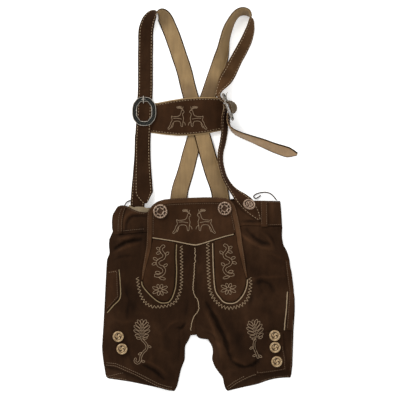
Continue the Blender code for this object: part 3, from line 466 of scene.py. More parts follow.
# Creases: height and half width in mm, path in squares of the lay plan.  They add to the solids' folds.
CREASES = [(height, width, pairs(*path)) for height, width, *path in (
    (-3.2, 2.4, 109, 251, 113, 249, 119, 246.4, 126, 242.6, 133, 240.6, 141, 239.4),
    (1.6, 2.6, 110, 254.5, 119, 250.6, 128, 246.6, 138, 243.6),
    (1.4, 2.6, 113, 239.5, 121, 238.6, 130, 237.2, 141, 235.4),
    (-0.9, 2, 113, 260, 121, 256.6, 132, 255),
    (-2, 2.2, 125.8, 230, 126.6, 223.5, 129, 218.6, 133, 216, 140, 215.6, 147, 216.4),
    (1.4, 2.6, 122.8, 229, 123.8, 221, 126.8, 215, 132, 212.6, 140, 212.4),
    (1, 3.4, 114, 212, 114.6, 220, 114.4, 230),
    (1.6, 2.4, 240.6, 233.5, 245, 237.5, 250, 241.4, 256, 245, 262, 247.6, 270, 249),
    (-2, 2.6, 247, 229.5, 251, 234.5, 256, 239, 262, 242.6, 269, 243.6),
    (1, 2, 262, 232.4, 267, 237, 271, 243, 273, 250),
    (-0.9, 1.8, 265, 231, 270, 236, 274, 243, 276, 250),
    (1.2, 2.2, 249, 281.5, 255, 278.4, 261, 276.6, 268, 277.4, 276, 276.8, 285, 276.6),
    (-1.6, 3.4, 255, 284, 262, 281, 269, 284, 273, 291),
    (0.9, 2.6, 269, 253, 277, 256.4, 284, 260.4),
    (-1.3, 1.8, 242, 221.5, 250, 221, 259, 221.6),
    (0.9, 3, 272, 204, 273, 214, 272, 223),
    (-1.1, 3, 249.6, 286, 251.4, 296, 249, 308),
    (0.9, 3, 244, 312, 247, 324, 245, 338),
    (-3.2, 2.6, 206, 302, 211.4, 311.6, 215.6, 320, 219.6, 328, 223.6, 336, 226.4, 345, 228.4, 353,
     231, 359),
    (1.6, 2.8, 204, 309, 208.6, 317, 212.4, 326, 216, 336, 218.6, 346, 221, 357),
    (1.2, 3, 213, 309, 219, 317, 224.6, 327, 228.6, 338, 231.6, 349),
    (-1.3, 1.6, 209.6, 332, 214, 336.6, 218, 342),
    (0.9, 1.8, 207, 330, 213, 333.4, 219, 338),
    (1.1, 2.4, 229, 357, 237, 360.4, 245, 365, 252, 363.6),
    (-2.6, 2.6, 233, 362, 239, 365.8, 246, 366.4, 252.6, 364.8, 257.6, 361, 259.4, 354),
    (0.8, 2.6, 222, 372, 231, 370, 241, 372),
    (1.3, 2.6, 182, 320.6, 176, 321, 170, 324, 166, 330),
    (-2, 2, 185, 323, 181.4, 328, 177, 327.6),
    (0.9, 1.5, 181, 329, 181.6, 345, 181, 359, 177.6, 371, 173, 384),
    (-0.8, 1.3, 179.2, 330, 179.6, 345, 179, 358, 175.6, 370),
    (1.6, 2.6, 142, 361.4, 148, 361.6, 154, 364.4, 160, 368.6, 166, 374),
    (-2.6, 1.9, 143.6, 364.6, 149, 367.6, 154, 370.4, 159, 374.4, 164, 379),
    (0.9, 3, 150.6, 350, 152, 356, 151, 361),
    (0.7, 3.4, 160, 335, 162, 346, 160, 358),
    (-0.8, 3, 126, 338, 129, 352, 134, 366),
    (-0.8, 2.4, 124, 284, 129, 300, 127, 318),
    (0.8, 3, 112, 318, 121, 322, 132, 321),
    (-0.9, 2.6, 186, 286, 188, 300, 186, 314),
    (0.8, 2.6, 203, 282, 204.6, 296, 203, 306),
    (-0.5, 9, 160, 322, 166, 340, 172, 356),
    (-1.1, 8, 112, 240, 128, 233, 150, 231),
    (0.5, 6, 150, 318, 156, 334, 160, 350),
    (-0.7, 9, 126, 286, 132, 304, 130, 322),
    (-0.4, 8, 264, 296, 270, 316),
    (-0.7, 8, 226, 318, 238, 336, 242, 352),
    (0.7, 7, 264, 352, 276, 364),
    (0.7, 7, 262, 256, 274, 268),
    (-0.6, 7, 250, 262, 262, 290),
)]


def distance_to_path(px, py, path):
    """Distance to a path in mm, and the share of the path that comes before the nearest place."""
    best, where, run = 1e9, 0.0, 0.0
    for (ax, ay), (bx, by) in zip(path, path[1:]):
        dx, dy = bx - ax, by - ay
        length = math.hypot(dx, dy)
        t = min(max(((px - ax) * dx + (py - ay) * dy) / (length * length), 0.0), 1.0)
        away = math.hypot(px - ax - t * dx, py - ay - t * dy)
        if away < best:
            best, where = away, run + t * length
        run += length
    return best * PLAN_STEP, where / run


def ease(t):
    t = min(max(t, 0.0), 1.0)
    return t * t * (3.0 - 2.0 * t)


def wrinkle(x, y):
    """How far the loose cloth of the front moves at a place in mm, and its fold shade from -1 to 1: painted
    shade in creases, paler ridges.
    """
    px, py = plan(x, y)
    tops = [z for z in (drop_on(tree, x, y) for tree in base_solids) if z is not None]
    loose = ease(((max(tops) if tops else 0.016) / MM - LOOSE_FROM) / LOOSE_WITHIN)
    if loose <= 0.0:
        return 0.0, 0.0
    move = 0.8 * noise.noise((px * 0.075, py * 0.06, 2.0)) + 0.45 * noise.noise((px * 0.19, py * 0.15, 7.0))
    move += 0.2 * noise.noise((px * 0.42, py * 0.36, 11.0))
    crease = 0.0
    for height, width, path in CREASES:
        near, along = distance_to_path(px, py, path)
        if near < CREASE_REACH * width:
            uneven = noise.noise((px * 0.13, py * 0.13, height))
            fade = 0.30 + 0.70 * math.sin(math.pi * min(max(along, 0.04), 0.96)) ** 0.6
            spread = width * (1.0 + 0.5 * uneven)
            crease += height * (fade * (1.0 + 0.6 * uneven)) * math.exp(-(near / spread) ** 2)
    doubled = 150.0 < px < 240.0 and 200.0 < py < 300.0                     # the drop front
    free = loose * (0.35 if doubled else 1.0)
    return (move + crease) * free, max(min((crease + 0.3 * move) * free / FOLD_FOR_FULL_SHADE, 1.0), -1.0)


def fill(rim, step):
    """Points and triangles of a flat piece: its rim, and a triangular grid inside it."""
    low, high = rim.min(0), rim.max(0)
    grid = []
    for row in range(int((high[1] - low[1]) / (step * ROW_SHARE)) + 1):
        xs = np.arange(low[0] + (0.5 * (row % 2)) * step, high[0], step)
        grid.append(np.stack([xs, np.full(len(xs), low[1] + row * step * ROW_SHARE)], 1))
    grid = np.concatenate(grid)
    hit, far = points_inside(grid, rim)
    points = np.concatenate([rim, grid[hit & (far > step * 0.55)]])
    edges = [(i, (i + 1) % len(rim)) for i in range(len(rim))]
    spots, _, faces, *_ = delaunay_2d_cdt([Vector(p) for p in points], edges, [], 1, 1e-9)
    return np.array([tuple(p) for p in spots]), [tuple(f) for f in faces]


def settle(node, spots, faces, rounds):
    """Heights of a solid's top at the points, evened out with their neighbours' heights."""
    solid = tree_of(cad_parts[node])
    top = np.array([z if (z := drop_on(solid, x, y)) is not None else np.nan for x, y in spots])
    known = np.flatnonzero(~np.isnan(top))
    for i in np.flatnonzero(np.isnan(top)):
        top[i] = top[known[np.argmin(np.hypot(*(spots[known] - spots[i]).T))]]
    edges = {tuple(sorted((a, b))) for face in faces for a, b in zip(face, face[1:] + face[:1])}
    edges = np.array(sorted(edges))
    counts = np.zeros(len(spots))
    np.add.at(counts, edges.ravel(), 1.0)
    for _ in range(rounds):
        total = np.zeros(len(spots))
        np.add.at(total, edges[:, 0], top[edges[:, 1]])
        np.add.at(total, edges[:, 1], top[edges[:, 0]])
        top = 0.45 * top + 0.55 * total / np.maximum(counts, 1.0)
    return top


def shell(node, paint, depth, spacing, rumpled, rounds, tuck):
    """A cut piece as a fine shell, depth thick: its top follows its solid's, smoothed and creased, and its
    points carry the painted fold shade.
    """
    rim = inset_rim(even_rim(outline_of(node), spacing * MM), -tuck)
    spots, faces = fill(rim, spacing * MM)
    top = settle(node, spots, faces, rounds)
    fold_shades = np.zeros(len(spots))
    if rumpled:
        moves, fold_shades = np.array([wrinkle(x, y) for x, y in spots]).T
        top = top + MM * moves
    count = len(spots)
    upper = np.column_stack([spots, top])
    lower = np.column_stack([spots, np.maximum(top - depth * MM, 0.0)])
    every = faces + [tuple(i + count for i in reversed(f)) for f in faces]
    every += [(j, i, i + count, j + count) for i, j in rim_edges(faces)]
    obj = wear(mesh_object(node + "_cloth", np.concatenate([upper, lower]), every), paint)
    # fold shade per point: painted shade in creases and paler ridges, partly wear and partly painted
    # highlight; the underside gets none
    fold_shade_layer = obj.data.attributes.new("fold_shade", "FLOAT", "POINT")
    fold_shade_layer.data.foreach_set("value", np.concatenate([fold_shades, np.zeros(count)]).astype(np.float32))
    soften = obj.modifiers.new("Cut edge", "BEVEL")
    soften.width, soften.segments, soften.limit_method, soften.angle_limit = 0.45 * MM, 2, "ANGLE", 0.95
    return obj


def rim_edges(faces):
    """Edges with a face on one side only, in that face's order."""
    seen = {}
    for face in faces:
        for i, a in enumerate(face):
            b = face[(i + 1) % len(face)]
            if (b, a) in seen:
                del seen[(b, a)]
            else:
                seen[(a, b)] = True
    return list(seen)


def declare_cut(node):
    """Reads the cut edge of a piece; nothing is made of it."""
    rim = np.array(outline_of(node))


# --- cut pieces -----------------------------------------------------------------------------------
CUT_PIECES = (
    # node, paint, slot, wall and how far its underside lies under the solid's, held, lies on
    ("back_panel_left", "suede_inside", "suede", SUEDE, 0.0, "laid"),
    ("front_panel_left", "suede", "suede", SUEDE, 0.0, "draped", "back_panel_left"),
    ("waistband_front_left", "suede_waist", "suede", SUEDE, 0.0, "draped", "waistband_back"),
    ("back_panel_right", "suede_inside", "suede", SUEDE, 0.0, "laid"),
    ("front_panel_right", "suede", "suede", SUEDE, 0.0, "draped", "back_panel_right"),
    ("waistband_front_right", "suede_waist", "suede", SUEDE, 0.0, "draped", "waistband_back"),
    ("waistband_back", "suede", "suede", SUEDE, 0.0, "laid"),
    ("waistband_lining_left", "tan_inside", "tan", 1.0, 0.2, "laid", "waistband_front_left"),
    ("bib_binding", "trim", "trim", 2.0, 0.8, "with the bib"),
    ("bib_panel", "suede_front", "suede", 1.4, 0.8, "laid", "waistband_front_left", "waistband_front_right"),
    ("flap_tongue_left", "suede_front", "suede", 1.4, 0.8, "laid", "front_panel_left"),
    ("flap_tongue_right", "suede_front", "suede", 1.4, 0.8, "laid", "front_panel_right"),
    ("pocket_facing_left", "suede_front", "trim", 1.4, 0.8, "laid", "front_panel_left"),
    ("pocket_facing_right", "suede_front", "trim", 1.4, 0.8, "laid", "front_panel_right"),
    ("placket_right", "suede", "suede", 1.4, 0.8, "laid", "front_panel_right"),
    ("belt_loop_left", "suede_waist", "trim", 1.4, 0.2, "laid", "waistband_front_left"),
    ("belt_loop_right", "suede_waist", "trim", 1.4, 0.2, "laid", "waistband_front_right"),
    ("chest_band_lining", "tan", "tan", 1.2, 0.0, "laid", "strap_left_lining", "strap_right_lining"),
    ("chest_band_suede", "suede_front", "suede", 1.1, 0.4, "laid", "chest_band_lining"),
)
COARSE = {"back_panel_left": 5.0, "back_panel_right": 5.0, "waistband_back": 4.0}     # spacing of points
UNDERSIDES = (
    # node stem, paint, upward share of a face's normal below which it is used
    ("back_panel", "suede", -0.5), ("front_panel", "suede_inside", -0.3))
EVENING_ROUNDS = 14
BIB_TUCK = 1.1                   # how far the bib reaches under its binding
BAND_FOOT, BAND_HEIGHT = 216.0, 11.0    # of the back waistband, py and squares
BAND_MOVES = ((149.0, 9.0, 3.2), (233.5, 6.0, -3.6))    # px, reach and drop in squares


def move_top_edge(band, middle, reach, drop):
    """Lets the back waistband's top edge sag round px = middle, or rise where drop is negative."""
    for vertex in band.data.vertices:
        px, py = plan(vertex.co.x, vertex.co.y)
        share = ease(1.4 - abs(px - middle) / reach) * ease((BAND_FOOT - py) / BAND_HEIGHT)
        vertex.co.y -= drop * share * PLAN_STEP * MM


def make_cloth():
    """Every cut piece of the shorts; returns the surfaces that trims and sewing lie on."""
    made = {}
    for node, paint, slot, wall, sink, held, *rests_on in CUT_PIECES:
        is_back = node.startswith("back_panel")
        rumpled = not (is_back or node.startswith("chest") or node == "waistband_back")
        piece = shell(node, paint, wall + sink, COARSE.get(node, FINE), rumpled,
                      0 if is_back else EVENING_ROUNDS, BIB_TUCK if node == "bib_panel" else 0.0)
        for stem, under, limit in UNDERSIDES:
            if node.startswith(stem):
                piece.data.materials.append(PAINTS[under])
                paint_faces(piece, lambda face: face.normal.z < limit)
        if node == "waistband_back":
            for move in BAND_MOVES:
                move_top_edge(piece, *move)
        join_up(piece, node)
        if node != "bib_binding":
            declare_cut(node)
        made[node] = piece
    return made


# --- braces ---------------------------------------------------------------------------------------
# Each row: px, py, lift, roll, width.  A strap runs from the back waist over the shoulder to its front end.
STRAP_LEFT = [
    (222.4, 216, 0, 180, 29), (220, 192, 0, 180, 29), (214.2, 175, 0, 180, 28.5),
    (211.3, 166, 0, 180, 28), (207.8, 155, 2.75, 180, 27), (199.6, 125, 2.75, 180, 26),
    (191, 97, 2.75, 180, 25.5), (188, 86, 0, 180, 25.5), (184, 70, 0, 180, 25.5),
    (178.7, 54, 0, 180, 25.5), (172.6, 36, 0, 180, 25.5), (168.7, 26.5, 0, 181, 25),
    (165.6, 19.4, 0, 188, 24.5), (162.5, 15.2, 0, 212, 24.5), (159.2, 13.1, 0, 246, 24.5),
    (155.8, 12.9, 0, 292, 24.5), (152.6, 15, 0, 316, 24.5), (149.2, 19.8, 0, 333, 24.5),
    (147, 25.8, 0, 347, 24.5), (145.7, 34, 0, 360, 24.5), (145.4, 60, 0, 360, 24.5),
    (145.3, 86, 0, 360, 24.5), (145, 97, 2.8, 360, 24.5), (143.4, 128, 2.8, 360, 25),
    (142.7, 142, 2.8, 360, 25.6), (142.7, 156, 2.8, 360, 26), (142.8, 170, 2.8, 360, 28),
    (143.2, 184, 2.8, 360, 30.2), (143.6, 192.6, 3.8, 360, 30.6), (144.2, 196.6, 5.4, 360, 23),
    (144.9, 200.2, 6.8, 360, 14), (145.6, 203.6, 7.6, 360, 4)]
STRAP_RIGHT = [
    (177.6, 216, 0, 180, 28), (179.7, 192, 0, 180, 28), (185, 174, 0, 180, 27),
    (188.2, 162, 0, 180, 26.5), (191.4, 150, 0, 180, 26), (201.2, 118, 0, 180, 25.5),
    (210.4, 90, 0, 180, 25.5), (216.6, 72, 0, 180, 25.5), (220.6, 60, 0, 168, 25),
    (223.2, 50, 0, 146, 24.5), (224.9, 40, 0, 132, 24.5), (227.7, 30, 0, 128, 24.5),
    (232.4, 20, 0, 119, 24.5), (237.2, 13.9, 0, 117, 24.5), (242.6, 11.8, 0, 117, 24.5),
    (247.4, 12.9, 0, 111, 24.5), (250.3, 16, 0, 96, 24.5), (251.2, 20, 0, 73, 24.5),
    (250.6, 25.5, 0, 62, 24.5), (249.6, 30.5, 0, 53, 24.5), (246.4, 40, 0, 42, 24.5),
    (241.4, 50, 0, 38, 24.5), (235.9, 60, 1.4, 36, 24.5), (231, 70, 2.8, 28, 24), (227.2, 77, 2.8, 8, 22),
    (223.7, 83, 2.8, -24, 20.4), (221.2, 87.5, 2.8, -50, 20.6), (219.2, 91.6, 3, -66, 19.4),
    (218.6, 95.6, 5.2, -76, 17.4), (221.2, 99.8, 9.6, -88, 15.6), (225.5, 102.4, 13.2, -95, 15),
    (229.2, 102.6, 11.2, -108, 17), (232, 104.6, 8, -120, 20), (233.4, 107.6, 6.4, -125, 22),
    (233.2, 111, 8, -118, 19.5), (232, 113.4, 12, -102, 15.5)]
STRAP_RIGHT_TAIL = [
    (228.6, 113.4, 9, 80, 18), (228.3, 118, 3, 80, 22), (228.6, 123, 0, 83, 24.5),
    (230.6, 128, 0, 92, 24.5), (235.4, 132.4, 0, 102, 24.5), (243, 136, 0, 107, 24.5),
    (252, 139.4, 0, 112, 24.5), (263, 143.6, 0, 119, 24.5), (275, 148.4, 0, 124, 24.5),
    (286, 152, 0, 126, 25.5), (290.6, 153, 0, 127, 20), (297.6, 154.2, 0, 130, 3)]
TAB_LEFT = [
    (141.6, 134.6, 0, 0, 22), (141.2, 154, 0, 0, 22.4), (139.8, 174, 0, 0, 22.8),
    (138.2, 192, 0.2, 0, 22.8), (137.7, 199, 2.6, 0, 22.8), (137.5, 203, 3.4, 0, 22.8),
    (137.4, 214, 3.4, 0, 22.8)]
TAB_RIGHT = [
    (224.5, 104.2, 5, 74, 13), (225.3, 108.4, 4, 76, 16), (224.9, 112.5, 2.6, 70, 18.5),
    (224.5, 118, 0.6, 64, 20.5), (224.5, 125, 0, 60, 21), (224.3, 132, 0, 60, 21),
    (222.5, 143, 0, 62, 20.5), (220.4, 153, 0, 64, 20), (220.6, 163, 0, 66, 20), (223.2, 174, 0, 66, 20),
    (226.6, 181.6, 0.5, 64, 20), (231, 188.2, 3, 60, 20.5), (236, 194, 8, 46, 21),
    (241.2, 199, 13.8, 22, 22.5), (247.4, 204.8, 15.6, 5, 23.5), (253.6, 211.6, 15.9, 0, 18),
    (257.6, 217, 15.9, 0, 8.5), (259.2, 219.6, 15.9, 0, 3)]
STRAPS = (
    # node stem, rows, lies on
    ("strap_left", STRAP_LEFT, ("strap_right_suede",)),
    ("strap_right", STRAP_RIGHT, ("waistband_back",)),
    ("strap_right_tail", STRAP_RIGHT_TAIL, ()),
    ("tab_left", TAB_LEFT, ("waistband_back",)),
    ("tab_right", TAB_RIGHT, ("waistband_front_right",)),
)

# Where the lining is darkened, partly handling soil and partly painted shade under and beside other leather:
# px, py, reach in squares, depth.
SOIL_AND_SHADE_SPOTS = (
    (210, 93, 15, 0.85), (189, 93, 12, 0.6), (182, 192, 16, 0.3), (216, 192, 16, 0.38), (226, 40, 12, 0.12))
LOOP_SHADE_BOX = ((221.0, 400.0), (98.0, 115.0))     # px and py between which the right lining bends round the buckle; painted shade darkens it there
LAYERS = (
    # layer, levels of its two faces above the strap's underside, sewn on top, paint, wider by
    ("lining", 0.0, STRAP_LINING + LAYER_GAP * 0.8, False, "tan", -2.3),
    ("suede", STRAP_LINING + LAYER_GAP, STRAP, True, "suede_strap", 1.2),
)
OTHER_LOOKS = {                            # paint, wider by
    "strap_right_tail_lining": ("tan_tail", -2.3),
    "strap_right_tail_suede": ("suede_strap", 3.4),
    "strap_right_suede": ("suede_lit", 1.2),
    "tab_right_suede": ("suede_front", 1.2),
}
STITCH_AT = 0.80                           # place of a stitch row across a strap, 0 middle, 1 edge
# Across a strap: place from edge to edge, and how far the sewn face sinks there, in millimetres.
STRAP_PROFILE = ((-1.0, 0.42), (-0.96, 0.12), (-0.9, 0.0), (-0.85, 0.1), (-STITCH_AT, 0.3), (-0.75, 0.1),
                 (-0.62, 0.0), (-0.3, -0.06), (0.0, -0.08), (0.3, -0.06), (0.62, 0.0), (0.75, 0.1),
                 (STITCH_AT, 0.3), (0.85, 0.1), (0.9, 0.0), (0.96, 0.12), (1.0, 0.42))


def between(p, q, r, s, t):
    """A smooth curve from q to r, on to s and come from p."""
    return 0.5 * (2 * q + (r - p) * t + (2 * p - 5 * q + 4 * r - s) * t * t
                  + (3 * q - p - 3 * r + s) * t ** 3)


def strap_track(rows):
    """Sections of a strap: middle, up, side (both unit vectors) and width in millimetres."""
    fine = []
    for i in range(len(rows) - 1):
        before, a, b = rows[max(i - 1, 0)], rows[i], rows[i + 1]
        after = rows[min(i + 2, len(rows) - 1)]
        run = math.hypot(b[0] - a[0], b[1] - a[1]) * PLAN_STEP
        parts = max(int(run / FINE) + 1, int(abs(b[3] - a[3]) / 5.0))
        fine += [[between(*q, k / parts) for q in zip(before, a, b, after)] for k in range(parts)]
    fine.append(list(rows[-1]))
    track = []
    for i, (px, py, lift, roll, width) in enumerate(fine):
        ahead, behind = fine[min(i + 1, len(fine) - 1)], fine[max(i - 1, 0)]
        along = (place(ahead[0], ahead[1]) - place(behind[0], behind[1])).normalized()
        across = Vector((-along.y, along.x, 0.0))
        turn = math.radians(roll)
        up = Vector((0.0, 0.0, 1.0)) * math.cos(turn) + across * math.sin(turn)
        side = across * math.cos(turn) - Vector((0.0, 0.0, 1.0)) * math.sin(turn)
        rise = STRAP * 0.5 * abs(math.cos(turn)) + width * 0.5 * abs(math.sin(turn))
        track.append((place(px, py, max(lift, 0.0) + rise), up, side, width))
    return track


def strap_layer(name, track, inner, outer, sewn_on_top, paint, wider):
    """One leather layer of a strap; one of its faces has the sewn, rounded profile."""
    count = len(STRAP_PROFILE)
    points, faces = [], []
    for i, (middle, up, side, width) in enumerate(track):
        sway = 0.25 * noise.noise((middle.x * 55, middle.y * 55, 3.0 + inner))
        half = (width + wider) * 0.5
        buckling = 0.16 * noise.noise((middle.x * 90, middle.y * 90, 9.0))
        for level, sewn in ((inner, not sewn_on_top), (outer, sewn_on_top)):
            for s, sink in STRAP_PROFILE:
                dip = sink * (min(width, 24.0) / 24.0) if sewn else 0.0
                dip = -dip if level == inner else dip
                height = level - STRAP * 0.5 - dip + buckling * (1.0 - s * s)
                spot = middle + (up * height + side * (s * half + sway * abs(s))) * MM
                points.append((spot.x, spot.y, max(spot.z, 0.0)))
        if i:
            a, b = (i - 1) * 2 * count, i * 2 * count
            for k in range(count - 1):
                faces.append((a + k, a + k + 1, b + k + 1, b + k))
                faces.append((a + count + k, b + count + k, b + count + k + 1, a + count + k + 1))
            faces.append((a, b, b + count, a + count))
            faces.append((a + count - 1, a + 2 * count - 1, b + 2 * count - 1, b + count - 1))
    last = (len(track) - 1) * 2 * count
    faces.append([*range(count), *reversed(range(count, 2 * count))])
    faces.append([*range(last + count, last + 2 * count), *reversed(range(last, last + count))])
    obj = wear(mesh_object(name, points, faces), paint)
    turn_outwards(obj)
    return obj


def soil_and_shade_lining(piece):
    """Darkens the lining smoothly where other leather lies on it: partly rubbed soil, partly painted shade.
    """
    soil_and_shade = piece.data.attributes.new("soil_and_shade", "FLOAT", "POINT")
    for i, vertex in enumerate(piece.data.vertices):
        px, py = plan(vertex.co.x, vertex.co.y)
        soil_and_shade.data[i].value = max(depth * ease(1.3 - math.hypot(px - x, (py - y) * 0.8) / reach)
                                 for x, y, reach, depth in SOIL_AND_SHADE_SPOTS)


def in_loop_shade(face):
    place_on_plan = plan(face.center.x, face.center.y)
    return all(low < at < high for at, (low, high) in zip(place_on_plan, LOOP_SHADE_BOX))


def make_straps():
    tracks = {}
    for stem, rows, rests_on in STRAPS:
        track = tracks[stem] = strap_track(rows)
        for layer, inner, outer, sewn_on_top, *looks in LAYERS:
            node = stem + "_" + layer
            looks = OTHER_LOOKS.get(node, looks)
            piece = strap_layer(node + "_cloth", track, inner, outer, sewn_on_top, *looks)
            # painted shade on the lining's loop round the right buckle
            if node == "strap_right_lining":
                piece.data.materials.append(PAINTS["tan_loop_shade"])
                paint_faces(piece, in_loop_shade)
            if layer == "lining":
                soil_and_shade_lining(piece)
            join_up(piece, node)
    return tracks


# --- sewing: where it lies and how it is made -----------------------------------------------------
class Ground:
    """The top of the cut pieces, for all that is sewn on them."""

    def __init__(self, pieces):
        self.trees = [tree_of(piece) for piece in pieces]

    def height(self, x, y, otherwise):
        hits = [tree.ray_cast(Vector((x, y, ABOVE_ALL)), DOWN)[0] for tree in self.trees]
        tops = [hit.z for hit in hits if hit is not None]
        return max(tops) if tops else otherwise

    def lay(self, path, lift):
        """Points of the lay plan dropped on the cloth, lift millimetres above it, in metres."""
        out, last = [], 0.0
        for px, py in path:
            spot = place(px, py)
            last = self.height(spot.x, spot.y, last)
            out.append(Vector((spot.x, spot.y, last + lift * MM)))
        return out


def smooth_path(points, spacing, closed=False):
    """A smooth line through points of the plan, with steps of about spacing millimetres."""
    count = len(points)
    out = []
    for i in range(count if closed else count - 1):
        if closed:
            p, q, r, s = (points[(i + k) % count] for k in (-1, 0, 1, 2))
        else:
            p, q, r, s = (points[min(max(i + k, 0), count - 1)] for k in (-1, 0, 1, 2))
        parts = max(1, round(math.hypot(r[0] - q[0], r[1] - q[1]) * PLAN_STEP / spacing))
        out += [tuple(between(*c, k / parts) for c in zip(p, q, r, s)) for k in range(parts)]
    out.append(points[0] if closed else points[-1])
    return out


STITCH_ARCH = ((0.0, -0.9), (0.22, 0.55), (0.5, 1.0), (0.78, 0.55), (1.0, -0.9))   # along, height


class Threads:
    """Many short or long threads, gathered into one mesh of fine tubes."""

    def __init__(self):
        self.points, self.faces = [], []

    def add(self, path, radius, sides, taper, waver=0.0):
        """A tube along a path; taper is the share of the radius at its ends, waver its unevenness."""
        line = np.array([tuple(p) for p in path])
        along = np.gradient(line, axis=0)
        along /= np.maximum(np.linalg.norm(along, axis=1), 1e-12)[:, None]
        flat = np.cross(along, (0.0, 0.0, 1.0))
        flat /= np.maximum(np.linalg.norm(flat, axis=1), 1e-9)[:, None]
        upward = np.cross(flat, along)
        size = np.full(len(line), radius * MM)
        size[0] *= taper
        size[-1] *= taper
        if waver:
            size *= [1.0 + waver * noise.noise(Vector(p) * 700.0) for p in line]
        turns = np.arange(sides) * 2.0 * math.pi / sides
        ring = flat[:, None] * np.cos(turns)[:, None] + upward[:, None] * np.sin(turns)[:, None]
        shape = line[:, None] + ring * size[:, None, None]
        base = len(self.points)
        self.points += [tuple(p) for p in shape.reshape(-1, 3)]
        for i in range(len(line) - 1):
            a, b = base + i * sides, base + (i + 1) * sides
            self.faces += [(a + k, b + k, b + (k + 1) % sides, a + (k + 1) % sides) for k in range(sides)]
        self.faces.append(tuple(base + k for k in range(sides)))
        last = base + (len(line) - 1) * sides
        self.faces.append(tuple(last + k for k in reversed(range(sides))))

    def dashes(self, path, length, pitch, radius, arch=0.32, taper=0.6, ups=None):
        """Running stitches along a path, each a small arch that dips into the cloth."""
        run = [0.0]
        for a, b in zip(path, path[1:]):
            run.append(run[-1] + (b - a).length / MM)
        ups = ups or [Vector((0.0, 0.0, 1.0))] * len(path)

        def at(where):
            k = min(max(int(np.searchsorted(run, where)) - 1, 0), len(run) - 2)
            t = (where - run[k]) / max(run[k + 1] - run[k], 1e-9)
            return path[k].lerp(path[k + 1], t), ups[k].lerp(ups[k + 1], t)

        start = 0.4
        while start + length < run[-1]:
            bits = []
            for share, height in STITCH_ARCH:
                spot, up = at(start + share * length)
                spot = spot + up * height * arch * MM
                spot.z = max(spot.z, radius * MM)              # pressed in where the strap lies on it
                bits.append(spot)
            self.add(bits, radius, sides=6, taper=taper)
            start += pitch * (1.0 + 0.06 * noise.noise(Vector((start, 3.0, 7.0))))

    def build(self, name, paint, node=None):
        return join_up(wear(mesh_object(name, self.points, self.faces), paint), node)


def edge_run(node, start, end, inset, through):
    """A line inset millimetres inside a piece's cut edge, from near start to near end, on the plan."""
    rim = even_rim(outline_of(node), 1.6 * MM)
    inner = inset_rim(rim, inset)

    def nearest(spot):
        target = place(*spot)
        return int(np.argmin(np.hypot(rim[:, 0] - target.x, rim[:, 1] - target.y)))

    a, b, count = nearest(start), nearest(end), len(rim)
    forward = [(a + k) % count for k in range((b - a) % count + 1)]
    backward = [(a - k) % count for k in range((a - b) % count + 1)]
    if through:
        chosen = forward if nearest(through) in forward else backward
    else:
        chosen = min(forward, backward, key=len)
    return [plan(*inner[i]) for i in chosen]


# --- piping, seams and stitch rows ----------------------------------------------------------------
PIPINGS = (
    # node, radius, path on the plan
    ("piping_bib", 1.25, pairs(
        152.6, 237.5, 164, 239.2, 176.4, 241.2, 187.2, 243.5, 195.5, 244.7, 202.5, 243.1, 213.3, 239.6,
        224.8, 236.1, 233.6, 234)),
    ("piping_tongue_left", 0.82, pairs(
        141.9, 281.4, 142.5, 285.4, 147, 291.4, 153.6, 298, 159.7, 302.2, 165, 302.8, 168.9, 301.8,
        171.9, 298.4, 174.6, 291.5, 176.1, 283.8, 176.7, 270, 176.2, 256.5, 176.7, 244.3)),
    ("piping_tongue_right", 0.85, pairs(
        212.6, 243.2, 212.9, 256.5, 213.7, 275.6, 215.2, 290, 219.1, 296.8, 223.7, 301.8, 229, 303.3,
        235.1, 302.6, 240.5, 298.4, 244.9, 291.5, 246.9, 284.8, 247.4, 279.4)),
    ("piping_centre", 0.6, pairs(
        195.3, 247.6, 194.9, 260, 193.7, 279.5, 193, 287, 194.1, 293.8, 197.2, 299.1, 199, 304.5,
        198.3, 310.6, 194.1, 316, 191.8, 323, 190.8, 330.5)),
    ("pocket_piping_left", 0.8, pairs(
        119.2, 269.4, 120.4, 283, 120.3, 297.6, 113.6, 305.4, 107.2, 312.8)),
    ("pocket_piping_right", 0.8, pairs(
        287.3, 291.6, 286.2, 309, 284.8, 322, 284.3, 330)),
)
ZIGZAGS = (
    # swing to each side in squares, path on the plan
    (1.55, pairs(
        137.5, 277, 138.4, 285, 140.5, 293.8, 144.4, 301.4, 150.5, 306, 157.4, 306.8, 164.5, 306.2,
        171.2, 304.3, 175.7, 301.2, 178.8, 295.3, 181, 287.7, 181.6, 280, 181.6, 262, 181.4, 244.3)),
    (1.75, pairs(
        207.8, 242.8, 208.2, 264, 209.1, 283, 211, 293, 215.2, 300.5, 222.1, 306.2, 229, 308, 235.9, 307,
        243.6, 303.4, 248.1, 296.8, 250.6, 286, 249.8, 277)),
)
ZIGZAG_STEP = 1.52               # squares from one corner to the next
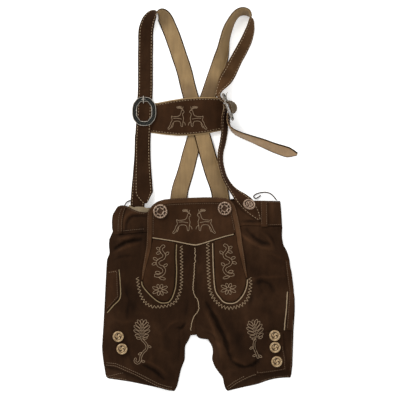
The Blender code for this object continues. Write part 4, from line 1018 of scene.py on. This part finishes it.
STITCH_ROWS = {
    # name and paint: node, px, py of the start and of the end, inset in mm, px, py of a place between
    ("chest_stitches", "stitch"): (
        ("chest_band_suede", 221.6, 100, 141, 108, 1.7, 180, 100),
        ("chest_band_suede", 220.6, 129.4, 141, 130, 1.7, 180, 134)),
    ("edge_stitches", "stitch_hem"): (
        ("front_panel_left", 105.5, 366, 173, 391, 2.2), ("front_panel_left", 105.5, 366, 173, 391, 6.2),
        ("front_panel_right", 229, 391, 256.5, 375, 2.2), ("front_panel_right", 229, 391, 246.5, 378, 6.2),
        ("back_panel_left", 106.4, 377.4, 128, 381, 2.6), ("back_panel_right", 262, 382.6, 291, 377.5, 2.6),
        ("pocket_facing_left", 107.5, 271.4, 117.5, 269.6, 2.4)),
    ("tonal_stitches", "stitch_brown"): (
        ("placket_right", 283.4, 346, 255.8, 369.5, 2.2, 286, 369.6),
        ("bib_panel", 153, 234, 234, 232, 1.7, 195, 203),
        ("bib_binding", 142.5, 276, 247, 274, 1.4, 190, 197.7),
        ("pocket_facing_left", 118, 271, 107, 310, 2.2, 119, 297),
        ("pocket_facing_right", 285.2, 261, 286.8, 329, 1.8, 289, 292),
        ("waistband_front_left", 124, 234.4, 147, 232, 5.6),
        ("waistband_front_right", 268, 225.5, 282, 225.6, 1.8),
        ("waistband_front_right", 281, 201.6, 249, 201.2, 2.2),
        ("waistband_front_left", 118, 206, 145, 212.4, 2.2),
        ("belt_loop_left", 121.6, 208.4, 117.6, 232.6, 1.4, 117.8, 220),
        ("belt_loop_left", 125.6, 208, 122.4, 232.4, 1.4, 122.8, 220),
        ("belt_loop_right", 260.2, 202, 260.6, 226, 1.6), ("belt_loop_right", 267, 202, 267.4, 226, 1.6),
        ("front_panel_right", 294, 320, 292, 371, 2.6)),
}
INNER_HEM = pairs(106.6, 376.4, 113, 375.4, 119, 373.8, 125, 372.8)     # of the left leg's back


def make_piping(ground):
    for node, radius, path in PIPINGS:
        sway = 0.8 if node == "piping_centre" else 0.12
        line = []
        for px, py in smooth_path(path, 1.2):
            aside = noise.noise((px * 0.3, py * 0.5, 5.0)) + 0.9 * noise.noise((2.0, py * 0.8, 9.0))
            line.append((px + sway * aside, py))
        spots = ground.lay(line, 0.0)
        heights = np.convolve(np.pad([p.z for p in spots], 3, "edge"), np.ones(7) / 7.0, "valid")
        cord = Threads()
        cord.add([Vector((p.x, p.y, max(p.z, h) + radius * 0.62 * MM)) for p, h in zip(spots, heights)],
                 radius, sides=10, taper=0.7, waver=0.10)
        cord.build(node + "_cord", "piping_olive" if node.endswith("left") else "piping", node=node)


def make_back_seam():
    """The turned edges of the centre seam close the space between the two back panels."""
    seam = Threads()
    seam.add([place(196.0, py, 0.8) for py in (231.4, 265.0, 300.0, 334.6)], 0.7, sides=8, taper=1.0)
    seam.build("back_seam", "suede")


def make_zigzag(ground):
    sewn = Threads()
    for width, path in ZIGZAGS:
        fine = smooth_path(path, 0.5)
        line, gone = [fine[0]], 0.0
        for a, b in zip(fine, fine[1:]):
            gone += math.hypot(b[0] - a[0], b[1] - a[1])
            if gone >= ZIGZAG_STEP:
                line.append(b)
                gone = 0.0
        points = []
        for i, (px, py) in enumerate(line):
            ahead, behind = line[min(i + 1, len(line) - 1)], line[max(i - 1, 0)]
            dx, dy = ahead[0] - behind[0], ahead[1] - behind[1]
            run = math.hypot(dx, dy)
            swing = (width if i % 2 else -width) * (1.0 + 0.14 * noise.noise((px, py, 1.0)))
            points.append((px - dy / run * swing, py + dx / run * swing))
        for a, b in zip(points, points[1:]):
            shares = (0.0, 0.25, 0.5, 0.75, 1.0)
            stitch = [(a[0] + (b[0] - a[0]) * t, a[1] + (b[1] - a[1]) * t) for t in shares]
            spots = ground.lay(stitch, lift=0.28)
            for end in (spots[0], spots[-1]):
                end.z -= 0.3 * MM                              # where it goes into the suede
            sewn.add(spots, 0.35, sides=6, taper=0.8)
    sewn.build("zigzag_stitches", "stitch")


def make_stitch_rows(ground, tracks):
    for stem, track in tracks.items():
        sewn = Threads()
        for edge in (-STITCH_AT, STITCH_AT):
            for level, sign, radius in ((STRAP, 1.0, 0.5), (0.0, -1.0, 0.3)):
                lift = level - STRAP * 0.5 + 0.02
                path = [middle + (up * lift + side * edge * width * 0.5) * MM
                        for middle, up, side, width in track]
                ups = [up * sign for _, up, _, _ in track]
                sewn.dashes(path, 2.9, 5.1, radius, arch=0.34, taper=0.7, ups=ups)
        sewn.build(stem + "_stitches", "stitch")
    for (name, paint), rows in STITCH_ROWS.items():
        sewn = Threads()
        for node, px, py, end_px, end_py, inset, *through in rows:
            radius = 0.36 if node == "bib_binding" else THREAD
            pitch = 4.9 if node == "chest_band_suede" else 3.7
            path = edge_run(node, (px, py), (end_px, end_py), inset, through)
            sewn.dashes(ground.lay(path, 0.12), 2.6, pitch, radius)
        if name == "edge_stitches":
            sewn.dashes(ground.lay(smooth_path(INNER_HEM, 1.5), 0.12), 2.5, 3.7, 0.4)
        sewn.build(name, paint)


# --- embroidery: own motifs of flowers, leaves and a leaping stag ---------------------------------
STAG_OUTLINE = pairs(
    6.4, -7.2, 5.6, -8.6, 4.4, -9.2, 3.2, -8.2, 2.6, -5.8, 1.4, -3.6, -1.4, -2.6,
    -4.6, -2.4, -6.2, -2.2, -7.4, -3.2, -7.4, -1.4, -6.8, 1.2, -8.4, 4, -9.4, 7, -11.4, 10, -10.2, 10.8,
    -8, 8.4, -6.6, 5.6, -4.4, 2.8, -1.6, 2.2, 1.2, 2.6, 2.6, 4.6, 3, 7.6, 4.4, 7.8, 4.8, 4.4, 5.2, 1.8,
    5.6, -0.8, 4.8, -3.4, 4.8, -5.6)
STAG_LINES = [pairs(*line) for line in (
    (-5.4, 3.6, -5.8, 6.6, -7.6, 9.6), (4.8, 2.6, 7, 4.4, 7.6, 6.8),
    (4.2, -9.2, 3.2, -11.2, 0.8, -12, -1.8, -11.6), (5.2, -8.9, 4.6, -11, 5.4, -12.8),
    (2.8, -11.3, 3.2, -13.2), (1.2, -11.9, 1.2, -13.6), (-0.4, -11.9, -0.9, -13.3),
    (2, -11.5, 2.2, -13.5), (0.4, -11.8, 0.2, -13.4), (-1.5, -11.6, -2.1, -12.8),
    (3.9, -10.3, 2.6, -10.7, 0.8, -11.2, -1.2, -11), (-5.6, -0.6, -2.4, -0.8, 1, -0.4, 3.8, 0.2)
)]


def moved(path, x, y, across=1.0, tall=1.0):
    return [(x + across * px, y + tall * py) for px, py in path]


def stag(x, y, across, tall):
    """A leaping stag; negative across turns it to the left."""
    lines = [(moved(STAG_OUTLINE, x, y, across, tall), True)]
    return lines + [(moved(line, x, y, across, tall), False) for line in STAG_LINES]


PETAL = pairs(0, 0, 0.3, 0.42, 0.66, 0.5, 0.94, 0.25, 1, 0, 0.94, -0.25, 0.66, -0.5, 0.3, -0.42)


def turned(path, angle):
    """A path turned by an angle in degrees round its origin."""
    c, s = math.cos(math.radians(angle)), math.sin(math.radians(angle))
    return [(a * c - b * s, a * s + b * c) for a, b in path]


def petal(x, y, length, width, angle):
    """A closed drop that grows from (x, y); the angle is in degrees, 90 is down the picture."""
    drop = [(along * length, across * width) for along, across in PETAL]
    return moved(turned(drop, angle), x, y), True


def beside(path, offset):
    """A line that runs beside another, offset in squares."""
    out = []
    for i, (x, y) in enumerate(path):
        (ax, ay), (bx, by) = path[max(i - 1, 0)], path[min(i + 1, len(path) - 1)]
        run = math.hypot(bx - ax, by - ay) or 1.0
        out.append((x - (by - ay) / run * offset, y + (bx - ax) / run * offset))
    return out


def ribbon(stem, half):
    """The closed outline of a band of stitches round a stem."""
    fine = smooth_path(stem, 1.6)
    return beside(fine[1:-1], half) + [fine[-1]] + beside(fine[1:-1], -half)[::-1] + [fine[0]], True


VINE_STEM = pairs(
    5, -15.4, 2.6, -14.6, 1, -12, 2.4, -9, 4.4, -6.2, 3.4, -3.2, -0.2, -1.4, -2.4, 1.2, -1, 4.2, 2.8, 6.2,
    4.4, 9.4, 2.4, 12.8, -1.8, 14.6, -5.4, 13.6)
VINE_LEAVES = (
    # px, py, angle, length
    (0.2, -11.4, 215, 4.2), (0.9, -9, 165, 4.6), (5.6, -6.4, -40, 4.2), (-2.2, -1.4, 205, 4.8),
    (-3.6, 1.6, 160, 4.4), (3.6, 5.4, -35, 4.6), (0.6, 11.6, 190, 5.2), (-1, 16.2, 14, 6.8))


def scroll_vine(x, y, way):
    """The tall scroll of a flap tongue with its leaves, and the rosette below it."""
    lines = [ribbon(VINE_STEM, 1.35)]
    lines += [petal(px, py, size, 2.4, angle) for px, py, angle, size in VINE_LEAVES]
    for k in range(8):
        turn = math.radians(20 + 45 * k)
        size = 6.4 if k in (0, 3, 4, 7) else 4.6
        lines.append(petal(0.2 + 1.6 * math.cos(turn), 28.4 + 1.3 * math.sin(turn), size, 2.5, 20 + 45 * k))
    return [(moved(line, x, y, way), closed) for line, closed in lines]


def leg_flower(x, y, way, tilt, stem):
    """A heavy blossom of outlined petals on a wavering double stem."""
    lines = [petal(0.0, -5.0, 4.8, 2.6, -90), ([(0.2, 8.6), (0.0, 2.0), (0.0, -4.6)], False)]
    for k, (size, spread) in enumerate(((6.2, 72), (8.2, 62), (8.8, 53), (8.0, 44), (6.4, 34))):
        lines += [petal(side * 0.9, 7.6 - 2.9 * k, size, 2.5, -90 + side * spread) for side in (-1, 1)]
    lines += [petal(-1.2, 9.6, 4.4, 2.0, 196), petal(1.2, 9.6, 4.4, 2.0, -16)]
    lines = [(turned(line, tilt), closed) for line, closed in lines] + [ribbon(stem, 0.95)]
    for k, (angle, size) in enumerate(((30, 3.8), (150, 4.0), (15, 3.6))):
        px, py = stem[min(2 + 2 * k, len(stem) - 2)]
        lines.append(petal(px + (1.0 if angle < 90 else -1.0), py, size, 1.8, angle))
    return [(moved(line, x, y, way), closed) for line, closed in lines]


STEM_LEFT = pairs(
    -0.6, 9.8, 2.4, 12.4, 4.9, 16.2, 4.4, 20, 1, 23.4, -1, 27.4, -1.6, 31.4,
    -4.2, 33.8, -6.8, 32, -6, 28.6)
STEM_RIGHT = pairs(
    -0.8, 9.6, 0.8, 13.2, 1, 17.6, -0.6, 21.8, -2.2, 25.6, -3.2, 28.8)


def make_embroidery(ground):
    motifs = {
        "stags_on_band": stag(178.4, 119.0, 0.92, 0.96) + stag(195.8, 119.0, -0.98, 0.96),
        "stags_on_bib": stag(184.4, 222.6, 1.02, 1.0) + stag(203.8, 222.4, -1.02, 1.0),
        "vine_left": scroll_vine(160.0, 261.2, 1.0),
        "vine_right": scroll_vine(228.6, 260.2, -1.0),
        "leg_flower_left": leg_flower(142.0, 329.0, 1.0, 0.0, STEM_LEFT),
        "leg_flower_right": leg_flower(255.0, 329.2, -1.0, 14.0, STEM_RIGHT),
    }
    for name, lines in motifs.items():
        sewn = Threads()
        for line, closed in lines:
            path = ground.lay(smooth_path(line, 1.1, closed), lift=0.2)
            sewn.add(path, 0.36, sides=6, taper=0.7, waver=0.2)
        sewn.build(name, "embroidery")


# --- buttons, buckles and laces -------------------------------------------------------------------
def step(value, edge, soft=0.03):
    return ease((value - edge) / soft * 0.5 + 0.5)


def wave(angle):
    return 0.5 + 0.5 * math.cos(angle)


def round_rim(r, low, middle, half):
    """Height of a rim that is rounded over half a width to each side of its middle."""
    return low + 0.08 * math.cos(max(min((r - middle) / half, 1.0), -1.0) * math.pi / 2)


def leg_button_height(r, angle):
    """Height of a carved horn button, and whether a place is painted dark: its carving, partly darker horn
    and partly painted shade, and its edge as painted shade; all in radii.
    """
    notch = wave(20 * angle) ** 4 * step(r, 0.74) * (1.0 - step(r, 0.94))
    groove = max(0.0, 1.0 - abs(r - 0.61) / 0.07)
    carving = step(r, 0.16) * (1.0 - step(r, 0.54)) * (1.0 - wave(3 * angle + 9 * r)) ** 2
    boss = 0.04 * (1.0 - step(r, 0.14))
    level = round_rim(r, 0.24, 0.80, 0.20) if r > 0.61 else 0.20 + boss
    height = level - 0.12 * groove - 0.09 * carving - 0.05 * notch
    return height, groove > 0.25 or carving > 0.34 or notch > 0.72 or r > 0.955


def bib_button_height(r, angle):
    """A horn ring with spokes round a sunk square, as cut for a deer-horn button."""
    square = max(abs(r * math.cos(angle + 0.5)), abs(r * math.sin(angle + 0.5)))
    notch = wave(18 * angle) ** 3 * step(r, 0.86)
    moat = step(r, 0.53) * (1.0 - step(r, 0.79))
    spoke = wave(8 * angle) ** 8
    well = 1.0 - step(square, 0.36)
    height = round_rim(r, 0.22, 0.86, 0.16) - 0.16 * moat * (1.0 - spoke) - 0.14 * well - 0.05 * notch
    # dark: the moat, the well and the notches, partly darker horn and partly painted shade, and the edge as
    # painted shade
    return height, (moat > 0.5 and spoke < 0.5) or well > 0.5 or notch > 0.6 or r > 0.96


def strap_button_height(r, angle):
    """A horn button with a milled rim and a carved middle."""
    rim = round_rim(r, 0.22, 0.84, 0.18) + 0.02 * math.cos(26 * angle) * step(r, 0.72)
    moat = step(r, 0.58) * (1.0 - step(r, 0.78))
    carving = wave(4 * angle + 8 * r) * step(r, 0.06) * (1.0 - step(r, 0.44))
    # dark: the moat and the carving, partly darker horn and partly painted shade, and the edge as painted
    # shade
    return rim - 0.12 * moat - 0.07 * carving, moat > 0.5 or carving > 0.3 or r > 0.94


def carved_button(node, radius, carving, paints, lean=(0.0, 0.0), lift=None):
    """A turned and carved button over its solid: paints are for the horn and for its dark places, the
    carving partly darker horn and partly painted shade.
    """
    low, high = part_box(node)
    rings, steps = 30, 96
    angles = [2.0 * math.pi * k / steps for k in range(steps)]
    levels = [(i / rings, None) for i in range(1, rings)] + [(1.0, 0.15), (1.0, 0.07), (0.86, 0.0)]
    points, faces, darks = [(0.0, 0.0, carving(0.0, 0.0)[0])], [], []
    for r, level in levels:
        for angle in angles:
            height = carving(r, angle)[0] if level is None else level
            points.append((r * math.cos(angle), r * math.sin(angle), height))
    for k in range(steps):
        n = (k + 1) % steps
        faces.append((0, 1 + k, 1 + n))
        darks.append(carving(0.02, 0.0)[1])
        for i in range(rings + 1):
            a, b = 1 + i * steps, 1 + (i + 1) * steps
            faces.append((a + k, b + k, b + n, a + n))
            r, angle = (i + 1.5) / rings, 2.0 * math.pi * (k + 0.5) / steps
            darks.append(i < rings - 2 and carving(r, angle)[1])
    base = 1 + (rings + 1) * steps
    faces.append(tuple(base + k for k in reversed(range(steps))))
    darks.append(False)
    points = [[c * radius * MM for c in p] for p in points]
    obj = wear(mesh_object(node + "_carved", points, faces), *paints)
    paint_faces(obj, lambda face: darks[face.index])
    obj.rotation_euler = (math.radians(lean[0]), math.radians(lean[1]), 0.0)
    spot = (Vector(low) + Vector(high)) * 0.5
    obj.location = (spot.x, spot.y, low[2]) if lift is None else lift
    join_up(obj, node)


def oval(half_width, half_length, power, t):
    """A point of an oval with flattened sides and slanted corners."""
    c, s = math.cos(t), math.sin(t)
    x, y = abs(c) ** (2.0 / power), abs(s) ** (2.0 / power)
    slant = min(1.0, 1.46 / (x + y))
    return half_width * math.copysign(x * slant, c), half_length * math.copysign(y * slant, s)


BUCKLE_OUTER = (20.5, 24.7, 2.35)     # half width, half length, squareness
BUCKLE_OPENING = (12.2, 16.6, 3.0)
BUCKLE_SIDE = 10                 # the outer wall and the underside come after this row of the profile
# Across the frame: place from the opening to the outer edge, height in mm, beaded, blackened.
BUCKLE_PROFILE = (
    (0.0, 0.2, 0, 0), (0.0, 1.4, 0, 0), (0.05, 1.9, 1, 0), (0.11, 2.1, 1, 0), (0.17, 1.7, 1, 0),
    (0.21, 1.0, 0, 1), (0.5, 0.9, 0, 1), (0.82, 1.0, 0, 1), (0.86, 1.8, 1, 0), (0.91, 2.2, 1, 0),
    (0.96, 1.9, 1, 0), (1.0, 1.4, 0, 0), (1.0, 0.2, 0, 0), (0.5, 0.0, 0, 0))


def on_frame(share, t):
    """A place on the buckle's frame: share 0 is its opening, 1 its outer edge."""
    a, b = oval(*BUCKLE_OPENING, t), oval(*BUCKLE_OUTER, t)
    return a[0] + (b[0] - a[0]) * share, a[1] + (b[1] - a[1]) * share


def make_buckle(node, turn):
    """A cast oval frame: two beaded rims with a blackened channel and a wavy vine between them."""
    low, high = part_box(node)
    steps, beads, count = 336, (42, 56), len(BUCKLE_PROFILE)
    points, faces, looks = [], [], []
    for i in range(steps):
        t = 2.0 * math.pi * i / steps
        for share, height, beaded, _ in BUCKLE_PROFILE:
            rise = height + (0.36 * math.cos(beads[share > 0.5] * t) if beaded else 0.0)
            points.append((*on_frame(share, t), rise - 1.35))
        a, b = i * count, (i + 1) % steps * count
        for k in range(count):
            n = (k + 1) % count
            faces.append((a + k, a + n, b + n, b + k))
            looks.append(2 if k > BUCKLE_SIDE else BUCKLE_PROFILE[k][3] or BUCKLE_PROFILE[n][3])
    vine = Threads()
    turns = [2.0 * math.pi * i / 252 for i in range(253)]
    wave_line = [Vector((*on_frame(0.5 + 0.16 * math.sin(22 * t), t), -0.25)) * MM for t in turns]
    vine.add(wave_line, 0.42, sides=6, taper=1.0)
    first = len(points)
    points += [(x / MM, y / MM, z / MM) for x, y, z in vine.points]
    faces += [tuple(first + k for k in face) for face in vine.faces]
    looks += [1] * len(vine.faces)
    obj = mesh_object(node + "_cast", [[c * MM for c in p] for p in points], faces)
    wear(obj, "metal", "metal_dark", "metal_side")
    paint_faces(obj, lambda face: looks[face.index])
    turn_outwards(obj)
    obj.location = (Vector(low) + Vector(high)) * 0.5
    obj.rotation_euler = (0.0, math.radians(turn[0]), math.radians(turn[1]))
    join_up(obj, node)


PRONGS = (
    # node, name, then radius and path (px, py, height) of each bar
    ("buckle_left_prong", "buckle_left_pin",
     (0.95, ((143.5, 103.8, 8.3), (143.5, 102.7, 8.7), (143.5, 101.2, 9.6), (143.5, 99.4, 9.7),
             (143.5, 97.4, 9.7), (143.5, 95.8, 9.4))),
     (0.7, ((141.3, 99.6, 8.6), (142.3, 99.3, 9.1), (143.5, 99.2, 9.2), (144.7, 99.3, 9.1),
            (145.7, 99.6, 8.6)))),
    ("buckle_right_prong", "buckle_right_pin",
     (0.85, ((226.4, 98.6, 21.0), (226.0, 96.4, 22.0), (226.5, 94.2, 22.5), (227.4, 92.4, 22.5)))),
)


def make_hardware():
    for node in ("left_1", "left_2", "right_1", "right_2", "right_3"):
        carved_button("leg_button_" + node, 9.2, leg_button_height, ("horn", "horn_dark"))
    for node, radius in (("bib_button_left", 12.0), ("bib_button_right", 11.4)):
        carved_button(node, radius, bib_button_height, ("bib_button", "bib_dark"))
    carved_button("strap_button_right", 10.5, strap_button_height, ("bib_button", "bib_dark"),
                  (-36.0, 14.0), place(248.7, 204.7, 25.6))
    make_buckle("buckle_left_ring", (0.0, 0.0))
    make_buckle("buckle_right_ring", (80.5, 20.0))
    for node, name, *bars in PRONGS:
        pin = Threads()
        for radius, path in bars:
            pin.add([place(*spot) for spot in path], radius, sides=10, taper=0.6)
        pin.build(name, "metal", node)


LACES = (
    # node, route: px, py and height, the same as the solid's
    ("lace_right", (
        (276.6, 200.2, 6), (272, 194.6, 3), (267, 192.4, 1.1), (261, 192.6, 1), (256, 194.2, 1),
        (253.8, 196.4, 1), (255.4, 198.4, 1), (258.4, 197.2, 1), (261, 195.2, 1))),
    ("lace_left", (
        (124, 207.6, 3.9), (125.2, 204.2, 2.9), (127.6, 201.4, 1), (131, 200.5, 1), (137, 200.6, 1),
        (142, 201.2, 1))),
)


def make_laces():
    """Round leather laces that end cut off; they lie on the table where they leave the waist."""
    for node, route in LACES:
        line = smooth_path(route, 1.4)
        spots = [place(x, y, max(z, LACE * 0.5)) for x, y, z in line]
        lace = Threads()
        lace.add(spots, LACE * 0.5, sides=12, taper=0.8, waver=0.05)
        piece = lace.build(node + "_leather", "lace", node)


make_laces()
shells = make_cloth()
tracks = make_straps()
cloth_ground = Ground(shells.values())
make_piping(cloth_ground)
make_back_seam()
make_zigzag(cloth_ground)
make_stitch_rows(cloth_ground, tracks)
make_embroidery(cloth_ground)
make_hardware()
